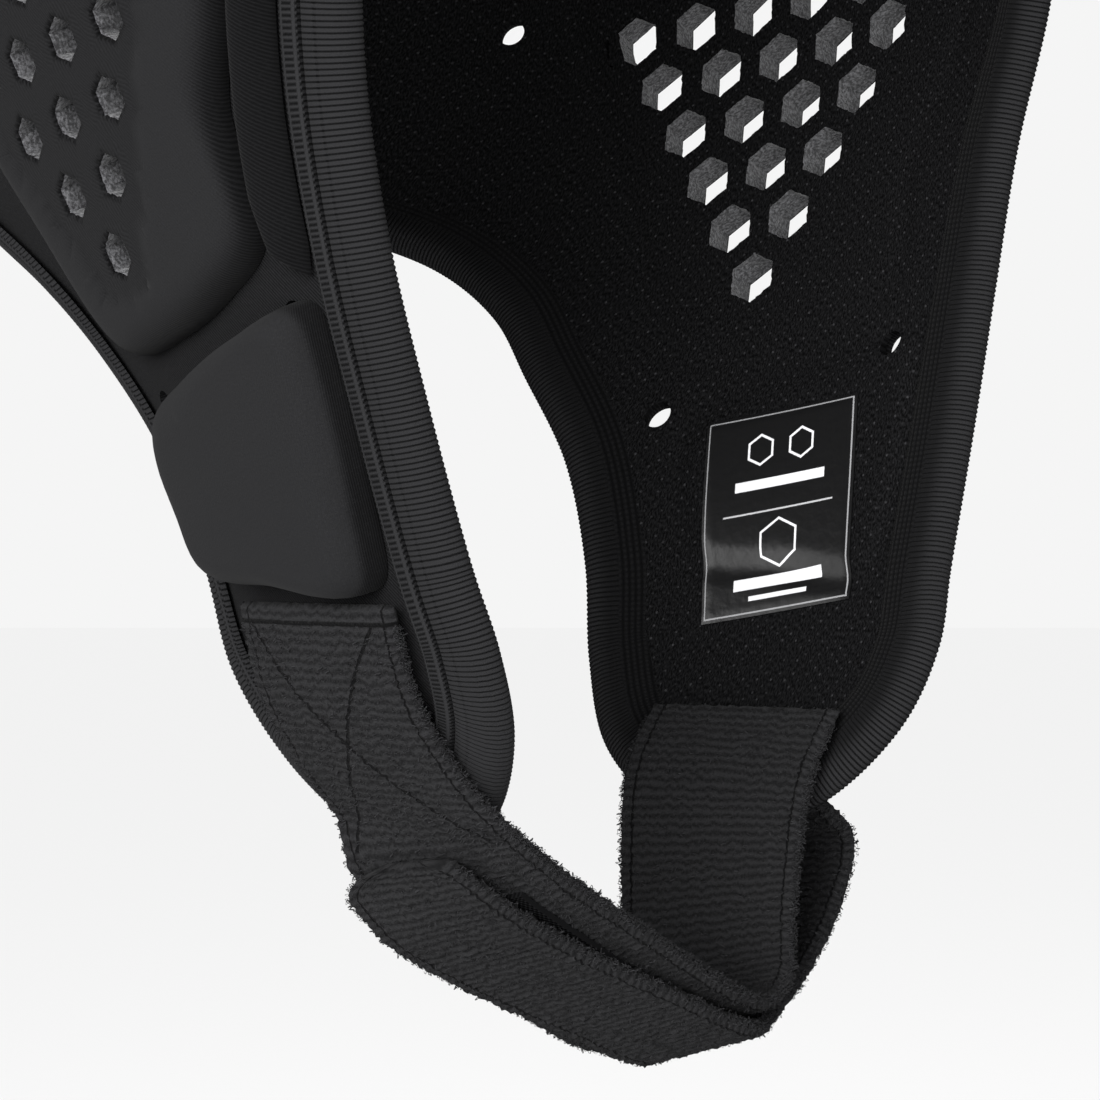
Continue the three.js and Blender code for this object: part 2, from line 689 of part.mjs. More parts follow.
// The narrow pad along a flap's front edge, steep behind and sloping down to the binding
function frontPad(side) {
  const foot = BINDING_WIDTH + 2 * GAP;
  const rings = FRONT_PAD_LINE.map((row) => {
    const { point, normal, inward } = rimFrame(row.along / 2);
    const at = (behind, lift) => mirrored(point.clone()
      .addScaledVector(inward, foot + behind * FRONT_PAD_WIDTH)
      .addScaledVector(normal, PAD_SEAT - BINDING_MID + lift * FRONT_PAD_THICKNESS), side);
    const wide = 0.4 * row.full;
    return [
      at(row.behind - wide, -0.5),
      at(row.behind - wide, 0.35 * row.full),
      at(row.behind + wide * 0.5, row.full),
      at(row.behind + wide, 0.7 * row.full),
      at(row.behind + wide, -0.5),
    ];
  });
  return loft(rings, middleOf(rings[0]), middleOf(rings[rings.length - 1])).subtract(domeCore(PAD_SEAT));
}

// Straps

const ACROSS = [-1, -0.5, 0, 0.5, 1];

// Five points across a strap sewn on a flap, from its front edge to its rear edge
function flapStation(row, width, height, side) {
  const place = sidePlace(HEAD_BACK_REACH * row.back, WIDEST_Z - FLAP_DROP * row.drop);
  const step = 0.01;
  const here = formPoint(place.level, place.turn, height);
  const stretch = formPoint(place.level, place.turn + step, height).distanceTo(here) / step;
  return ACROSS.map((share) => {
    const turn = place.turn + share * width / 2 / stretch;
    return mirrored(formPoint(place.level, turn, height), side);
  });
}

// Five points across a free strap
function freeStation(row, width) {
  const flapEnd = WIDEST_Z - FLAP_DROP * Math.max(...RIM.map((edge) => edge.drop));
  const middle = new THREE.Vector3(HEAD_HALF_WIDTH * row.across, HEAD_BACK_REACH * row.back,
    flapEnd - CHIN_DROP * row.below);
  const tilt = THREE.MathUtils.degToRad(row.tilt);
  const across = new THREE.Vector3(0, Math.cos(tilt), -Math.sin(tilt));
  return ACROSS.map((share) => middle.clone().addScaledVector(across, share * width / 2));
}

// A strap's middle surface: a smooth line through each of the points across its stations
function strapLines(stations) {
  return ACROSS.map((_, i) => {
    const line = stations.map((station) => station[i]);
    return new THREE.CatmullRomCurve3(line, false, 'centripetal');
  });
}

// The strap's point and normal at a share of its length and a share across, -1 at its front edge
function strapSpot(lines, along, across) {
  const at = (share, line) => lines[line].getPoint(THREE.MathUtils.clamp(share, 0, 1));
  const place = (across + 1) * 2;
  const line = Math.min(Math.floor(Math.max(place, 0)), 3);
  const point = at(along, line).lerp(at(along, line + 1), place - line);
  const step = 0.004;
  const forward = at(along + step, line).sub(at(along - step, line));
  const rearward = at(along, line + 1).sub(at(along, line));
  return { point, normal: forward.cross(rearward).normalize() };
}

// A band along a strap's middle surface: its height over it, and its reach across as shares
function bandSolid(lines, span, height, thickness, reach) {
  const rings = [];
  for (let i = 0; i < span.count; i += 1) {
    const along = span.from + (span.to - span.from) * i / (span.count - 1);
    const upper = [];
    const lower = [];
    ACROSS.forEach((share) => {
      const across = (reach.front + reach.rear) / 2 + share * (reach.rear - reach.front) / 2;
      const { point, normal } = strapSpot(lines, along, across);
      upper.push(point.clone().addScaledVector(normal, height + thickness / 2));
      lower.unshift(point.clone().addScaledVector(normal, height - thickness / 2));
    });
    rings.push([...upper, ...lower]);
  }
  return loft(rings, middleOf(rings[0]), middleOf(rings[rings.length - 1]));
}

// The height of a strap's middle over a flap: near the cloth at its end, and over the binding lower down
function heightOutside(over) {
  const low = PAD_SEAT + STRAP_CLEARANCE / 2;
  const high = BINDING_OUTER + STRAP_CLEARANCE;
  return low + (high - low) * over + STRAP_THICKNESS / 2;
}

function heightInside(under) {
  const low = -STRAP_CLEARANCE;
  const high = BINDING_INNER - STRAP_CLEARANCE;
  return low + (high - low) * under - STRAP_THICKNESS / 2;
}

const CHIN_LINES = strapLines([
  ...RIGHT_ON_FLAP.map((row) => flapStation(row, RIGHT_STRAP_WIDTH, heightOutside(row.over), -1)),
  ...CHIN_RUN.map((row) => freeStation(row, RIGHT_STRAP_WIDTH)),
  ...RIGHT_INSIDE.map((row) => flapStation(row, RIGHT_STRAP_WIDTH, heightInside(row.under), 1)),
]);
const CHIN_STATIONS = RIGHT_ON_FLAP.length + CHIN_RUN.length + RIGHT_INSIDE.length;
const FULL_WIDTH = { front: -1, rear: 1 };

// Where a row of CHIN_RUN lies along the right strap
function chinShare(row) {
  return (RIGHT_ON_FLAP.length + row) / (CHIN_STATIONS - 1);
}

// Which way the right strap's normal points: away from the chin, or towards it
const OUTSIDE = strapSpot(CHIN_LINES, chinShare(3), 0).normal.z < 0 ? 1 : -1;
const HOOK_HEIGHT = STRAP_THICKNESS / 2 + GAP + HOOK_TAPE_THICKNESS / 2;
const LEFT_HEIGHT = HOOK_HEIGHT + HOOK_TAPE_THICKNESS / 2 + GAP + STRAP_THICKNESS / 2;

function rightStrap() {
  return bandSolid(CHIN_LINES, { from: 0, to: 1, count: 19 }, 0, STRAP_THICKNESS, FULL_WIDTH);
}

// Five points across the left strap where it lies on the right one
function tipStation(row) {
  return ACROSS.map((share) => {
    const across = (row.rear + row.front) / 2 + share * (row.rear - row.front) / 2;
    const { point, normal } = strapSpot(CHIN_LINES, chinShare(row.row), across);
    return point.addScaledVector(normal, OUTSIDE * LEFT_HEIGHT);
  });
}

function leftStrap() {
  const lines = strapLines([
    ...LEFT_ON_FLAP.map((row) => flapStation(row, LEFT_STRAP_WIDTH, heightOutside(row.over), 1)),
    ...LEFT_RUN.map((row) => freeStation(row, LEFT_STRAP_WIDTH)),
    ...TIP_RUN.map(tipStation),
  ]);
  return bandSolid(lines, { from: 0, to: 1, count: 25 }, 0, STRAP_THICKNESS, FULL_WIDTH);
}

// The hook tape between the two straps
function hookTape() {
  const span = { from: chinShare(3.8), to: chinShare(0.9), count: 7 };
  const half = HOOK_TAPE_WIDTH / RIGHT_STRAP_WIDTH;
  const reach = { front: HOOK_TAPE_SHIFT - half, rear: HOOK_TAPE_SHIFT + half };
  return bandSolid(CHIN_LINES, span, OUTSIDE * HOOK_HEIGHT, HOOK_TAPE_THICKNESS, reach);
}

// The label, cut from a thin sheet that follows the lining
function labelSolid() {
  const face = domeSheet(-GAP - LABEL_THICKNESS, -GAP);
  const block = new THREE.BoxGeometry(LABEL_WIDTH, HEAD_HALF_WIDTH / 2, LABEL_HEIGHT);
  block.applyMatrix4(clothFrame(LABEL_BACK, WIDEST_Z - LABEL_DROP, 1, LABEL_TURN));
  return face.intersect(solidOf(block));
}

// Materials
const STRETCH_CLOTH = { color: 0x1b1b1d, roughness: 0.85, metalness: 0 };
const MESH_CLOTH = { color: 0x131315, roughness: 0.95, metalness: 0 };
const PAD_CLOTH = { color: 0x202022, roughness: 0.8, metalness: 0 };
const BINDING_TAPE = { color: 0x19191b, roughness: 0.85, metalness: 0 };
const TERRY = { color: 0x1d1d1f, roughness: 1, metalness: 0 };
const HOOK_PLASTIC = { color: 0x101012, roughness: 0.5, metalness: 0 };
const LABEL_FILM = { color: 0x0c0c0e, roughness: 0.3, metalness: 0 };

const cap = new THREE.Group();

function addPart(name, solid, look) {
  const mesh = new THREE.Mesh(geometryOf(solid), new THREE.MeshStandardMaterial(look));
  mesh.name = name;
  cap.add(mesh);
}

addPart('shell', clothSheet(SHELL_INNER, SHELL_OUTER), STRETCH_CLOTH);
addPart('lining', clothSheet(0, LINING_THICKNESS), MESH_CLOTH);
addPart('edge_binding', bindingSolid(), BINDING_TAPE);
addPart('ear_pad_left', earPad(1, holeCutters(1)), PAD_CLOTH);
addPart('ear_pad_right', earPad(-1, holeCutters(-1)), PAD_CLOTH);
addPart('jaw_pad_left', jawPad(1), PAD_CLOTH);
addPart('jaw_pad_right', jawPad(-1), PAD_CLOTH);
addPart('front_pad_left', frontPad(1), PAD_CLOTH);
addPart('front_pad_right', frontPad(-1), PAD_CLOTH);
addPart('crown_top_pad', topPad(), PAD_CLOTH);
PLAIN_PADS.forEach((row) => addPart(row.name, plainPad(row), PAD_CLOTH));
addPart('right_strap', rightStrap(), TERRY);
addPart('left_strap', leftStrap(), TERRY);
addPart('hook_tape', hookTape(), HOOK_PLASTIC);
addPart('label', labelSolid(), LABEL_FILM);

export default cap;
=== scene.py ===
"""Rugby scrum cap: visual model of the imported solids, in metres, laid out as a Blender add-on."""
import math

import bmesh
import bpy
import numpy as np
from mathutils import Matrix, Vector
from mathutils.kdtree import KDTree


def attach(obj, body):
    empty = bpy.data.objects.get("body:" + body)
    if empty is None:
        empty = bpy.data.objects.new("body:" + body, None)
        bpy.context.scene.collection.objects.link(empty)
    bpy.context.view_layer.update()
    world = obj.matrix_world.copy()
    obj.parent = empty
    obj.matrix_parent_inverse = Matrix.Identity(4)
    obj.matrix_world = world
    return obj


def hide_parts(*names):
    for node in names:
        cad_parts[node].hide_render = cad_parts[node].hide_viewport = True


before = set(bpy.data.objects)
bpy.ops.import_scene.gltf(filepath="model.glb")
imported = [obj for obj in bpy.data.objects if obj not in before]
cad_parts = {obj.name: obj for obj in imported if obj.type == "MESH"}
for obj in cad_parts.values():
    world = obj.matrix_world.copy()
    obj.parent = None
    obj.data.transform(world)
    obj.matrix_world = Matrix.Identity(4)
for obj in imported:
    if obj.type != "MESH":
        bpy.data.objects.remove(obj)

bl_info = {
    "name": "Scrum cap",
    "version": (1, 0, 0),
    "blender": (4, 5, 0),
    "location": "3D View > Sidebar > Scrum cap",
    "description": "Cloth, pads, binding, straps and label of a padded cap",
    "category": "Add Mesh",
}

MM = 0.001

# The head form, in millimetres
HALF_WIDTH = 81.0
FRONT_REACH = 100.0
BACK_REACH = 104.0
CROWN_RISE = 100.0
FLAP_DROP = 173.0
ROUNDNESS = 0.92
SQUARENESS = 0.12
WIDEST_Z = -100.0
SHELL_INNER = 1.3
SHELL_OUTER = 2.9
PAD_SEAT = 3.2
BINDING_MID = 1.5
BINDING_HALF = 2.8
BINDING_WIDTH = 11.0
HOLE_PITCH = 12.0
HOLE_LEAN = math.radians(9)
HOLE_RADIUS = 8.0 / math.sqrt(3)
LOWEST_HOLE = (-3.0, -182.5)
STRAP_THICKNESS = 2.4
CHIN_DROP = 32.0
HOOK_HEIGHT = 1.95
LEFT_HEIGHT = 3.9

# Level sections: drop, width, axis, front, back
SECTIONS = np.array([
    (0.00, 1.000, -0.02, 1.00, 1.00), (0.10, 0.994, -0.07, 0.96, 1.05), (0.22, 0.963, -0.14, 0.89, 1.10),
    (0.39, 0.850, -0.24, 0.85, 1.11), (0.54, 0.753, -0.35, 0.80, 0.875), (0.69, 0.654, -0.38, 0.76, 0.70),
    (0.84, 0.548, -0.38, 0.72, 0.68), (0.91, 0.469, -0.38, 0.68, 0.625), (1.00, 0.358, -0.38, 0.60, 0.56),
])
# The rim's left half from brow to nape: turn in degrees, drop
RIM = np.array([
    (-90, -0.145), (-73, -0.127), (-57, -0.078), (-43, 0.012), (-34, 0.133), (-28.5, 0.243),
    (-21.8, 0.364), (-15.4, 0.494), (-13.0, 0.620), (-13.8, 0.751), (-15.3, 0.821), (-13.6, 0.890),
    (-4.8, 0.959), (10, 0.982), (24, 0.968), (36, 0.918), (40.5, 0.840), (44, 0.751), (47, 0.650),
    (49.0, 0.563), (48.8, 0.500), (51.5, 0.445), (60, 0.407), (75, 0.380), (90, 0.375),
])
EAR_OUTLINE = np.array([
    (-0.85, -0.15), (-0.74, -0.42), (-0.78, -0.76), (-0.56, -0.90), (-0.22, -1.00), (0.12, -1.01),
    (0.41, -0.65), (0.74, -0.19), (1.00, 0.25), (0.94, 0.69), (0.43, 0.95), (-0.26, 0.99),
    (-0.78, 0.84), (-0.93, 0.45),
])
JAW_OUTLINE = np.array([
    (-0.83, 1.02), (-0.35, 0.88), (0.22, 0.62), (0.54, 0.43), (0.66, 0.05), (0.56, -0.45),
    (0.38, -0.86), (-0.20, -0.93), (-0.86, -0.96), (-0.95, -0.40), (-0.95, 0.50),
])
EAR = {"middle": (2.0, -144.0), "size": (46.0, 52.0), "thick": 5.0, "outline": EAR_OUTLINE}
JAW = {"middle": (-17.0, -213.0), "size": (28.0, 20.0), "thick": 8.0, "outline": JAW_OUTLINE}
# The narrow front pads: along the half rim, behind, full
FRONT_LINE = np.array([
    (0.360, 0.12, 0.05), (0.352, 0.32, 0.75), (0.336, 0.43, 1.00), (0.316, 0.44, 1.00),
    (0.296, 0.42, 1.00), (0.276, 0.40, 1.00), (0.256, 0.38, 1.00), (0.236, 0.35, 0.80),
    (0.222, 0.30, 0.05),
])
# Plain pads: turn, half angle, top level, foot level
PLAIN_PADS = {
    "forehead_pad": (-90, 36, 0.575, 0.775), "crown_front_pad": (-90, 24, 0.285, 0.525),
    "crown_side_pad_left": (-30, 25, 0.285, 0.525), "crown_side_pad_right": (210, 25, 0.285, 0.525),
    "crown_rear_pad_left": (30, 25, 0.285, 0.525), "crown_rear_pad_right": (150, 25, 0.285, 0.525),
    "crown_back_pad": (90, 24, 0.285, 0.525), "temple_pad_left": (-31, 16, 0.585, 0.89),
    "temple_pad_right": (211, 16, 0.585, 0.89), "side_pad_left": (12, 20, 0.585, 0.875),
    "side_pad_right": (168, 20, 0.585, 0.875), "rear_pad_left": (53, 16, 0.585, 0.93),
    "rear_pad_right": (127, 16, 0.585, 0.93), "rear_middle_pad": (90, 15, 0.585, 0.93),
    "back_pad_left": (58, 13, 1.01, 1.26), "back_pad_right": (122, 13, 1.01, 1.26),
    "nape_pad": (90, 13, 1.01, 1.26),
}
# Vents by their place behind the origin and their height
VENTS = np.array([(58.45, -135.64), (-35.88, -194.80), (6.86, -205.53)])
# Straps: back, drop, over or under
RIGHT_ON_FLAP = [(-0.250, 0.775, 0.3), (-0.257, 0.844, 0.9), (-0.284, 0.905, 1.1), (-0.325, 0.945, 1.1)]
RIGHT_INSIDE = [(-0.262, 0.957, 1.7), (-0.258, 0.893, 1.0)]
LEFT_ON_FLAP = [(-0.240, 0.775, 0.2), (-0.240, 0.844, 0.8), (-0.240, 0.905, 1.1), (-0.242, 0.945, 1.2)]
# Free runs: across, back, below, tilt
CHIN_RUN = [
    (-0.469, -0.351, 0.06, 9), (-0.377, -0.365, 0.28, 14), (-0.191, -0.365, 0.55, 15),
    (-0.031, -0.356, 0.77, 16), (0.105, -0.337, 0.92, 16), (0.210, -0.317, 0.96, 15),
    (0.278, -0.298, 0.84, 13), (0.308, -0.280, 0.43, 7),
]
LEFT_RUN = [(0.565, -0.250, 0.12, 2), (0.530, -0.250, 0.46, 5), (0.430, -0.258, 0.80, 9),
            (0.320, -0.275, 1.02, 13)]
# The left strap's place on the right one: row, front, rear
TIP_RUN = [
    (4.50, -0.95, 0.48), (3.80, -0.92, 0.48), (3.00, -0.84, 0.56), (2.30, -0.70, 0.72),
    (1.60, -0.58, 0.87), (1.00, -0.52, 0.96), (0.50, -0.48, 0.96), (0.22, -0.44, 0.93),
    (0.05, -0.40, 0.72), (-0.08, -0.30, 0.42), (-0.16, -0.06, 0.22),
]


# The head form

def unit(vectors):
    return vectors / np.maximum(np.linalg.norm(vectors, axis=-1, keepdims=True), 1e-12)


def section_values(drop):
    drops = SECTIONS[:, 0]
    last = len(drops) - 1
    i = np.minimum(np.searchsorted(drops[1:], drop, side="left"), last - 1)
    below = np.maximum(np.arange(last + 1) - 1, 0)
    above = np.minimum(np.arange(last + 1) + 1, last)
    slopes = (SECTIONS[above, 1:] - SECTIONS[below, 1:]) / (drops[above] - drops[below])[:, None]
    span = drops[i + 1] - drops[i]
    s = (drop - drops[i]) / span
    rise = (s * s * (3 - 2 * s))[:, None]
    first = (span * s * (1 - s) ** 2)[:, None]
    second = (span * s * s * (1 - s))[:, None]
    low = SECTIONS[i, 1:]
    return low + (SECTIONS[i + 1, 1:] - low) * rise + slopes[i] * first - slopes[i + 1] * second


def sections(level):
    angle = np.clip(level, 0, 1) * math.pi / 2
    spread = np.sin(angle) ** ROUNDNESS
    drop = np.maximum(level - 1, 0)
    values = section_values(drop)
    z = WIDEST_Z + CROWN_RISE * np.maximum(np.cos(angle), 0) ** ROUNDNESS - FLAP_DROP * drop
    axis = FRONT_REACH * values[:, 1] * np.clip(level, 0, 1)
    return (z, HALF_WIDTH * values[:, 0] * spread, axis, FRONT_REACH * values[:, 2] * spread,
            BACK_REACH * values[:, 3] * spread)


def level_of(z):
    share = np.clip((z - WIDEST_Z) / CROWN_RISE, 0, 1)
    crown = np.arccos(share ** (1 / ROUNDNESS)) * 2 / math.pi
    return np.where(z < WIDEST_Z, 1 + (WIDEST_Z - z) / FLAP_DROP, crown)


def base(level, turn):
    z, width, axis, front, back = sections(level)
    sine = np.sin(turn)
    x = width * np.cos(turn) * (1 + SQUARENESS * sine * sine)
    return np.stack([x, axis + np.where(sine > 0, back, front) * sine, z], axis=-1)


def form_normal(level, turn):
    step = 1e-3
    down = base(level + step, turn) - base(level - step, turn)
    round_ = base(level, turn + step) - base(level, turn - step)
    normal = unit(np.cross(down, round_))
    normal[level < step] = (0, 0, 1)
    return normal


def form(level, turn, height):
    level, turn, height = np.broadcast_arrays(*(np.atleast_1d(np.asarray(v, float)) for v in (level, turn, height)))
    return base(level, turn) + form_normal(level, turn) * height[:, None]


def side_place(y, z):
    level = level_of(z)
    _, _, axis, front, back = sections(level)
    reach = np.where(y > axis, back, front)
    return level, np.arcsin(np.clip((y - axis) / reach, -1, 1))


def side(y, z, height, hand=1):
    level, turn = side_place(np.atleast_1d(y), np.atleast_1d(z))
    points = form(level, turn, height)
    points[:, 0] *= hand
    return points


def spline(points, t, closed):
    """A centripetal Catmull-Rom line through the points."""
    points = np.asarray(points, float)
    count = len(points)
    place = np.asarray(t, float) * (count if closed else count - 1)
    if closed:
        i = np.floor(place).astype(int)
        weight = place - i
        quad = [points[(i + k) % count] for k in (-1, 0, 1, 2)]
    else:
        i = np.clip(np.floor(place).astype(int), 0, count - 2)
        weight = place - i
        ends = np.vstack([2 * points[0] - points[1], points, 2 * points[-1] - points[-2]])
        quad = [ends[i + k] for k in range(4)]
    p0, p1, p2, p3 = quad
    gaps = [np.sqrt(np.linalg.norm(b - a, axis=-1))[:, None] for a, b in ((p0, p1), (p1, p2), (p2, p3))]
    d1 = np.where(gaps[1] < 1e-4, 1.0, gaps[1])
    d0 = np.where(gaps[0] < 1e-4, d1, gaps[0])
    d2 = np.where(gaps[2] < 1e-4, d1, gaps[2])
    first = ((p1 - p0) / d0 - (p2 - p0) / (d0 + d1) + (p2 - p1) / d1) * d1
    second = ((p2 - p1) / d1 - (p3 - p1) / (d1 + d2) + (p3 - p2) / d2) * d1
    w = weight[:, None]
    cubic = 2 * p1 - 2 * p2 + first + second
    square = -3 * p1 + 3 * p2 - 2 * first - second
    return ((cubic * w + square) * w + first) * w + p1


def rim_controls():
    turn = np.radians(RIM[:, 0])
    turn = np.concatenate([turn, math.pi - turn[-2:0:-1]])
    drop = np.concatenate([RIM[:, 1], RIM[-2:0:-1, 1]])
    level = level_of(WIDEST_Z - FLAP_DROP * drop)
    return form(level, turn, BINDING_MID), form_normal(level, turn), level, turn


RIM_POINTS, RIM_NORMALS, RIM_LEVELS, RIM_TURNS = rim_controls()
RIM_T = np.linspace(0, 1, 201)
RIM_RUN = np.concatenate([[0], np.cumsum(np.linalg.norm(np.diff(spline(RIM_POINTS, RIM_T, True), axis=0), axis=1))])
RIM_LENGTH = RIM_RUN[-1]


def rim_frame(share):
    t = np.interp(np.asarray(share) % 1, RIM_RUN / RIM_LENGTH, RIM_T)
    point = spline(RIM_POINTS, t, True)
    along = unit(spline(RIM_POINTS, t + 1e-4, True) - spline(RIM_POINTS, t - 1e-4, True))
    normal = spline(RIM_NORMALS, t, True)
    normal = unit(normal - along * np.sum(normal * along, axis=1, keepdims=True))
    return point, normal, np.cross(normal, along)


def smooth_step(value, low, high):
    s = np.clip((value - low) / (high - low), 0, 1)
    return s * s * (3 - 2 * s)


def closed_outline(pad, count):
    edge = np.column_stack([pad["outline"], np.zeros(len(pad["outline"]))])
    line = spline(edge, np.arange(count) / count, True)[:, :2]
    return line * np.array(pad["size"])


def inside_polygon(points, polygon):
    a = polygon
    b = np.roll(polygon, -1, axis=0)
    crossing = np.zeros(len(points), bool)
    for (ax, ay), (bx, by) in zip(a, b):
        over = (ay > points[:, 1]) != (by > points[:, 1])
        rise = by - ay if by != ay else 1e-12
        crossing ^= over & (points[:, 0] < (bx - ax) * (points[:, 1] - ay) / rise + ax)
    return crossing


def outline_distance(y, z, pad):
    """Distance inside a side pad's outline, negative outside it."""
    edge = closed_outline(pad, 260) + np.array(pad["middle"])
    tree = KDTree(len(edge))
    for i, (a, b) in enumerate(edge):
        tree.insert((a, b, 0), i)
    tree.balance()
    near = np.array([tree.find((a, b, 0))[2] for a, b in zip(y, z)])
    return np.where(inside_polygon(np.column_stack([y, z]), edge), near, -near)


def relief(y, z):
    """How far the lining stands in towards the head, with a crease along the side pads' outlines."""
    total = np.full(len(y), 0.35)
    for pad, swell in ((EAR, 0.35), (JAW, 0.9)):
        distance = outline_distance(y, z, pad)
        total = np.where(distance > 0, swell * smooth_step(distance, 0, 4.0), total)
        total *= np.where(distance < 0, smooth_step(-distance, 0, 3.0), 1.0)
    return total


def noise_field(count, seed):
    return np.random.default_rng(seed).normal(0, 1, count)


# Meshes

def corners_of(bm):
    return np.array([v.co[:] for v in bm.verts])


def finish_mesh(name, bm, mapping, uv=None, slots=(), smooth=True, rim=None):
    """Moves plan corners (a, b, height) to the form, stores the plan as a UV map in millimetres."""
    name = "soft_" + name.lower().replace(" ", "_")
    bm.verts.ensure_lookup_table()
    bmesh.ops.triangulate(bm, faces=[f for f in bm.faces if len(f.verts) > 4])
    bmesh.ops.recalc_face_normals(bm, faces=bm.faces)
    mesh = bpy.data.meshes.new(name)
    bm.to_mesh(mesh)
    bm.free()
    count = len(mesh.vertices)
    plan = np.empty(count * 3)
    mesh.vertices.foreach_get("co", plan)
    plan = plan.reshape(count, 3)
    points = mapping(plan) * MM
    mesh.vertices.foreach_set("co", points.ravel())
    loops = np.empty(len(mesh.loops), int)
    mesh.loops.foreach_get("vertex_index", loops)
    flat = (plan if uv is None else uv(plan))[:, :2]
    layer = mesh.uv_layers.new(name="UVMap")
    layer.data.foreach_set("uv", flat[loops].astype(np.float32).ravel())
    height = mesh.attributes.new("plan_height", "FLOAT", "POINT")
    height.data.foreach_set("value", plan[:, 2].astype(np.float32))
    # hole_rim marks the band round each hole where the pad material paints shade
    if rim is not None:
        layer = mesh.attributes.new("hole_rim", "FLOAT", "POINT")
        layer.data.foreach_set("value", rim(plan).astype(np.float32))
    mesh.update()
    turn_outwards(mesh)
    mesh.polygons.foreach_set("use_smooth", [smooth] * len(mesh.polygons))
    mesh.set_sharp_from_angle(angle=math.radians(62))
    for material in slots:
        mesh.materials.append(material)
    obj = bpy.data.objects.new(name, mesh)
    bpy.context.scene.collection.objects.link(obj)
    return obj


def turn_outwards(mesh):
    mesh.calc_loop_triangles()
    triangles = np.empty(len(mesh.loop_triangles) * 3, int)
    mesh.loop_triangles.foreach_get("vertices", triangles)
    points = np.empty(len(mesh.vertices) * 3)
    mesh.vertices.foreach_get("co", points)
    a, b, c = np.moveaxis(points.reshape(-1, 3)[triangles.reshape(-1, 3)], 1, 0)
    if np.sum(a * np.cross(b, c)) < 0:
        mesh.flip_normals()


def thicken(bm, depth):
    """Extrudes every face down by depth, in plan height. depth is a number or a function of the corner."""
    for vert in bm.verts:
        vert.tag = True
    made = bmesh.ops.extrude_face_region(bm, geom=list(bm.faces), use_keep_orig=True)["geom"]
    for item in made:
        if isinstance(item, bmesh.types.BMVert):
            item.co.z = depth(item.co) if callable(depth) else item.co.z - depth


def declare(obj, node, slot, soft=None, **facts):
    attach(obj, "root")
    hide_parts(node)
    return obj


def keep_faces(bm, keep):
    """Keeps the faces whose corners all pass the test, given as one flag for each corner."""
    bm.verts.ensure_lookup_table()
    bm.verts.index_update()
    gone = [f for f in bm.faces if not all(keep[v.index] for v in f.verts)]
    bmesh.ops.delete(bm, geom=gone, context="FACES")
    loose = [v for v in bm.verts if not v.link_faces]
    bmesh.ops.delete(bm, geom=loose, context="VERTS")


def window_corners(margin, below):
    foot_y, foot_z = LOWEST_HOLE
    row = HOLE_PITCH * math.sqrt(3) / 2
    half = HOLE_PITCH * 2.5
    rise = row * 5
    plan = [(-margin, -below), (margin, -below), (half + margin, rise),
            (half + margin * 0.6, rise + margin * 0.8), (-half - margin * 0.6, rise + margin * 0.8),
            (-half - margin, rise)]
    return np.array([(foot_y + a * math.cos(HOLE_LEAN) + u * math.sin(HOLE_LEAN),
                      foot_z + u * math.cos(HOLE_LEAN) - a * math.sin(HOLE_LEAN)) for a, u in plan])


def cloth_axes(y, z, lean):
    """A place on the left side's cloth: its point, its level axis and its leaning axis."""
    level, turn = side_place(np.array([y]), np.array([z]))
    normal = form_normal(level, turn)[0]
    up = np.array([0, math.sin(lean), math.cos(lean)])
    across = unit(np.cross(normal, up))
    return base(level, turn)[0], across, np.cross(across, normal)


def hole_places():
    row = HOLE_PITCH * math.sqrt(3) / 2
    y0, z0 = LOWEST_HOLE
    middle = (y0 + 6, z0 + 2.5 * row)
    probe = side(middle[0], middle[1], 0)[0]
    stretch_y = np.linalg.norm(side(middle[0] + 1, middle[1], 0)[0] - probe)
    stretch_z = np.linalg.norm(side(middle[0], middle[1] + 1, 0)[0] - probe)
    places = []
    for line in range(6):
        for i in range(line + 1):
            along = HOLE_PITCH * (i - line / 2)
            up = row * line
            places.append((y0 + (along * math.cos(HOLE_LEAN) + up * math.sin(HOLE_LEAN)) / stretch_y,
                           z0 + (up * math.cos(HOLE_LEAN) - along * math.sin(HOLE_LEAN)) / stretch_z))
    return places


def dome_grid(spacing, hidden, hole_reach, vent_radius):
    """A grid over the crown's polar plane, cut to the rim and open at the ears."""
    reach = 2.0
    count = int(2 * reach / spacing)
    bm = bmesh.new()
    bmesh.ops.create_grid(bm, x_segments=count, y_segments=count, size=reach)
    plan = corners_of(bm)
    level = np.hypot(plan[:, 0], plan[:, 1])
    turn = np.arctan2(plan[:, 1], plan[:, 0])
    t = np.linspace(0, 1, 420, endpoint=False)
    polar = np.column_stack([RIM_LEVELS * np.cos(RIM_TURNS), RIM_LEVELS * np.sin(RIM_TURNS), 0 * RIM_TURNS])
    inside = inside_polygon(plan[:, :2], spline(polar, t, True)[:, :2])
    points = form(level, turn, BINDING_MID)
    tree = KDTree(900)
    for i, p in enumerate(spline(RIM_POINTS, np.linspace(0, 1, 900, endpoint=False), True)):
        tree.insert(p, i)
    tree.balance()
    near = np.full(len(plan), 99.0)
    for i in np.nonzero(inside)[0]:
        near[i] = tree.find(points[i])[2]
    flat = np.column_stack([points[:, 1], points[:, 2]])
    middles = np.array(hole_places())
    window = np.zeros(len(plan), bool)
    for y, z in middles:
        window |= (np.hypot(flat[:, 0] - y, flat[:, 1] - z) < hole_reach) & (np.abs(points[:, 0]) > 25)
    keep_faces(bm, inside & (near > hidden) & ~window)
    open_vents(bm, vent_radius)
    return bm


